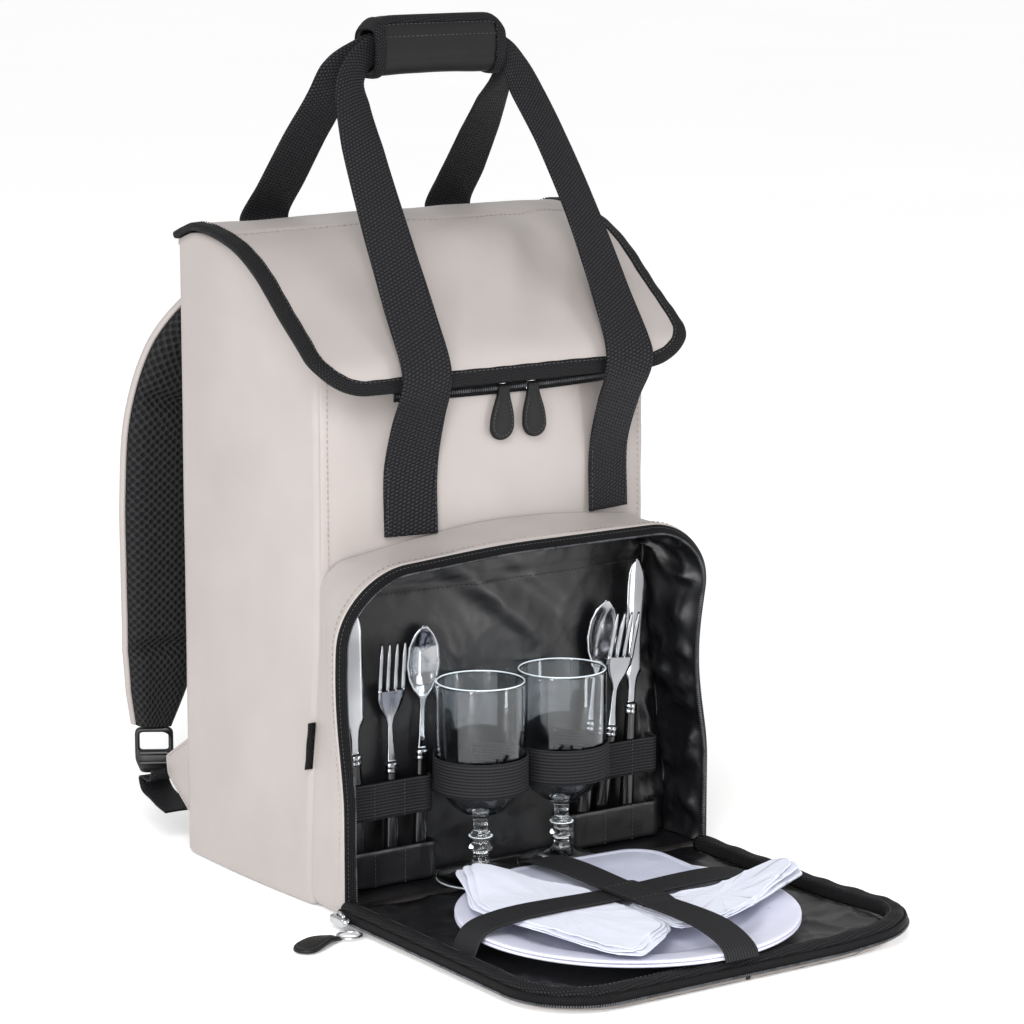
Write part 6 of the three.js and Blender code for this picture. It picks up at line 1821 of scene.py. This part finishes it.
def makeStrapEnd(side, sign):
    tabX = sign * (halfBack - anchor["inset"])
    corners = [(0, anchor["top"]), (0, anchor["top"] - anchor["length"]),
        (anchor["reach"] * 0.94, anchor["tip"] - anchor["tipHeight"] / 2),
        (anchor["reach"], anchor["tip"] + anchor["tipHeight"] / 2)]
    outline = smoothOutline(corners, count=72, rounding=0.12)
    middle = outline.mean(axis=0)
    rows = []
    for face in (-1, 1):
        order = [(0.5, 0.5), (0.2, 0.5), (0.12, 0.36), (0.06, 0.5), (0.012, 0.46), (0.0, 0.2)]
        for inset, lift in (order if face < 0 else order[::-1]):
            rows.append([(tabX + face * anchor["thickness"] * lift, backY + 0.3 + y, z)
                for y, z in (p + (middle - p) * inset for p in outline)])
    tab = clothPiece("anchor_skin_" + side, rows, skin, loop=True, ends=True)
    fit(tab, "leatherette", "anchor_tab_" + side)
    for face in (-1, 1):
        line = [(tabX + face * anchor["thickness"] * 0.42, backY + 0.3 + y, z)
            for y, z in (p + (middle - p) * 0.12 for p in outline)]
        fit(stitchRow(f"anchor_stitches_{side}_{'out' if face == sign else 'in'}", line, 3.6, 2.4, 0.34, creamThread,
                      closed=True), "leatherette")

    lockX = sign * shoulder["rows"][-1][0] * bag["width"] / 2
    lockY, lockTop = backY + shoulder["standOff"], shoulder["bottom"] - buckle["gap"]
    turn = sign * buckle["turn"]
    c, s = cos(turn), sin(turn)

    def onLock(x, y, z):
        return (lockX + c * x - s * y, lockY + s * x + c * y, lockTop + z)
    half, high, bar = buckle["width"] / 2, buckle["height"], buckle["bar"]
    outer = smoothOutline([(half, 0), (half, -high * 0.7), (half * 0.7, -high), (-half * 0.7, -high),
         (-half, -high * 0.7), (-half, 0)], count=96, rounding=0.2)
    inner = smoothOutline([(half - bar, -bar), (half - bar, -high * 0.5), (-half + bar, -high * 0.5),
        (-half + bar, -bar)],
        count=96, rounding=0.15)
    start = np.argmax(np.arctan2(outer[:, 1] + high * 0.3, outer[:, 0]))
    outer = np.roll(outer, -start, axis=0)
    start = np.argmax(np.arctan2(inner[:, 1] + high * 0.3, inner[:, 0]))
    inner = np.roll(inner, -start, axis=0)
    depth = buckle["thickness"] / 2
    rows = []
    for ringShare, y in ((0.0, -depth * 0.5), (0.12, -depth * 0.95), (0.85, -depth), (1.0, -depth * 0.6),
            (1.0, depth * 0.6),
            (0.85, depth), (0.12, depth * 0.95), (0.0, depth * 0.5)):
        rows.append([onLock(p[0], y, p[1]) for p in (a + (b - a) * ringShare for a, b in zip(outer, inner))])
    lock = clothPiece("ladder_lock_" + side, rows, mouldedAcetal, loop=True, endLoop=True)
    fit(lock, "buckle", "strap_buckle_" + side)
    # Raised bars of the lock
    for n, z in enumerate((-high * 0.56, -high * 0.78)):
        rows = []
        for x in np.linspace(-half * 0.82, half * 0.82, 12):
            rows.append([onLock(x, -depth - 0.6 + 1.2 * cos(a), z + 1.6 * sin(a)) for a in around(12)])
        fit(clothPiece(f"ladder_bar_{side}_{n}", rows, mouldedAcetal, loop=True, ends=True), "buckle")

    low = lockTop - buckle["height"]
    tipY = backY + anchor["reach"]
    stations = [{"centre": (tabX + sign, tipY + 0.3, anchor["tip"] - 3)},
        {"centre": (between(tabX, lockX, 0.5), between(tipY, lockY, 0.4), low - carry["thickness"] / 2)},
        {"centre": (lockX, lockY + 2, low - carry["thickness"])},
        {"centre": (lockX + sign * tail["spread"] * 0.2, lockY - tail["length"] * 0.09, between(low, tail["end"], 0.58))},
        {"centre": (lockX + sign * tail["spread"] * 0.6, lockY - tail["length"] * 0.48, between(low, tail["end"], 0.8))},
        {"centre": (lockX + sign * tail["spread"], lockY - tail["length"], tail["end"])},]
    stations = [{**station, "wide": (1, 0, 0), "width": tail["width"]} for station in stations]
    fit(ribbon("webbing_tail_" + side, stations, carry["thickness"] - 0.6, webbing, along=80,
        wave=lambda v, s: 0.3 * sin(v * 21 + 3 * s)), "webbing", "strap_webbing_" + side)


makeStrapEnd("left", -1)
makeStrapEnd("right", 1)
print("shoulder straps made")


# Slider at the flap's back corner, with its ring and leather tab on the floor

slider = {"width": 8, "length": 21, "height": 7, "ring": 8, "wire": 1.1, "pullLength": 38, "pullTurn": 0.28}


def makeFlapSlider():
    flapSide = flap["shift"] - flap["width"] / 2 - 0.3 - 2.4
    x0, y0 = flapSide - 0.3 - slider["width"] / 2, flapBack - 0.3 - slider["length"] / 2
    rows = []
    for t in np.linspace(0, 1, 20):
        y = y0 + (t - 0.5) * slider["length"]
        round_ = (1 - abs(2 * t - 1) ** 5) ** 0.5
        waist = 1 - 0.22 * sin(pi * t)
        rows.append([(x0 + squared(cos(a), 0.6) * slider["width"] / 2 * max(0.25, round_) * waist,
             y, flap["lift"] + slider["height"] * (0.5 + 0.5 * squared(sin(a), 0.6) * max(0.3, round_)))
            for a in around(24)])
    fit(clothPiece("flap_slider", rows, nickelPlate, loop=True, ends=True), "nickel", "pocket_slider")
    # Bridge on the slider that holds the ring
    rows = []
    for a in np.linspace(0, pi, 16):
        centre = np.array((x0, y0 - 5 * cos(a), flap["lift"] + slider["height"] - 0.6 + 2.6 * sin(a)))
        out = np.array((0, -cos(a), sin(a)))
        rows.append([centre + out * (0.8 * cos(b)) + np.array((1, 0, 0)) * (1.5 * sin(b)) for b in around(10)])
    fit(clothPiece("slider_bridge", rows, nickelPlate, loop=True, ends=True), "nickel")
    ringX, ringY = x0 - slider["width"] / 2, y0 - slider["length"] / 2 - slider["ring"]
    ringZ = flap["lift"] - slider["wire"] - 0.3
    rows = []
    for a in around(48):
        radius = slider["ring"]
        rows.append([(ringX + (radius + slider["wire"] * cos(b)) * cos(a),
             ringY + (radius + slider["wire"] * cos(b)) * sin(a), ringZ + slider["wire"] * sin(b))
            for b in around(12)])
    fit(clothPiece("slider_ring", rows, nickelPlate, loop=True, endLoop=True), "nickel", "pocket_ring")
    turn = -pi / 2 + slider["pullTurn"]
    c, s = cos(turn), sin(turn)
    hingeX, hingeZ = ringX - slider["ring"] - slider["wire"] - 0.6, ringZ

    def place(x, depth, z):
        return np.array((hingeX + c * x - s * z, ringY + s * x + c * z, hingeZ + depth + 0.15 + 2.2 * hump(z + 16, 18)))
    makePull("flap_pull", slider["pullLength"], lidZip["pullWidth"], 2.6, place, "pocket_pull")


makeFlapSlider()


# Bare loop label in the left seam

def makeLabel():
    low, top = 95, 127
    y = frontCornerY(low) + bag["frontCorner"] / 2
    rows = []
    for z in np.linspace(low, top, 14):
        inner = -frontHalf(z) + 0.9
        wave = 0.3 * sin(z * 0.35)
        rows.append([(inner, y + 0.5, z), (inner - 3.5, y + 0.7 + wave, z), (inner - 5.6, y + 0.6 + wave, z),
            (inner - 6, y + wave, z), (inner - 5.6, y - 0.6 + wave, z), (inner - 3.5, y - 0.7 + wave, z),
            (inner, y - 0.5, z)])
    fit(clothPiece("seam_label", rows, bindingTape, loop=True, ends=True), "binding", "side_label")


makeLabel()
print("trim made")
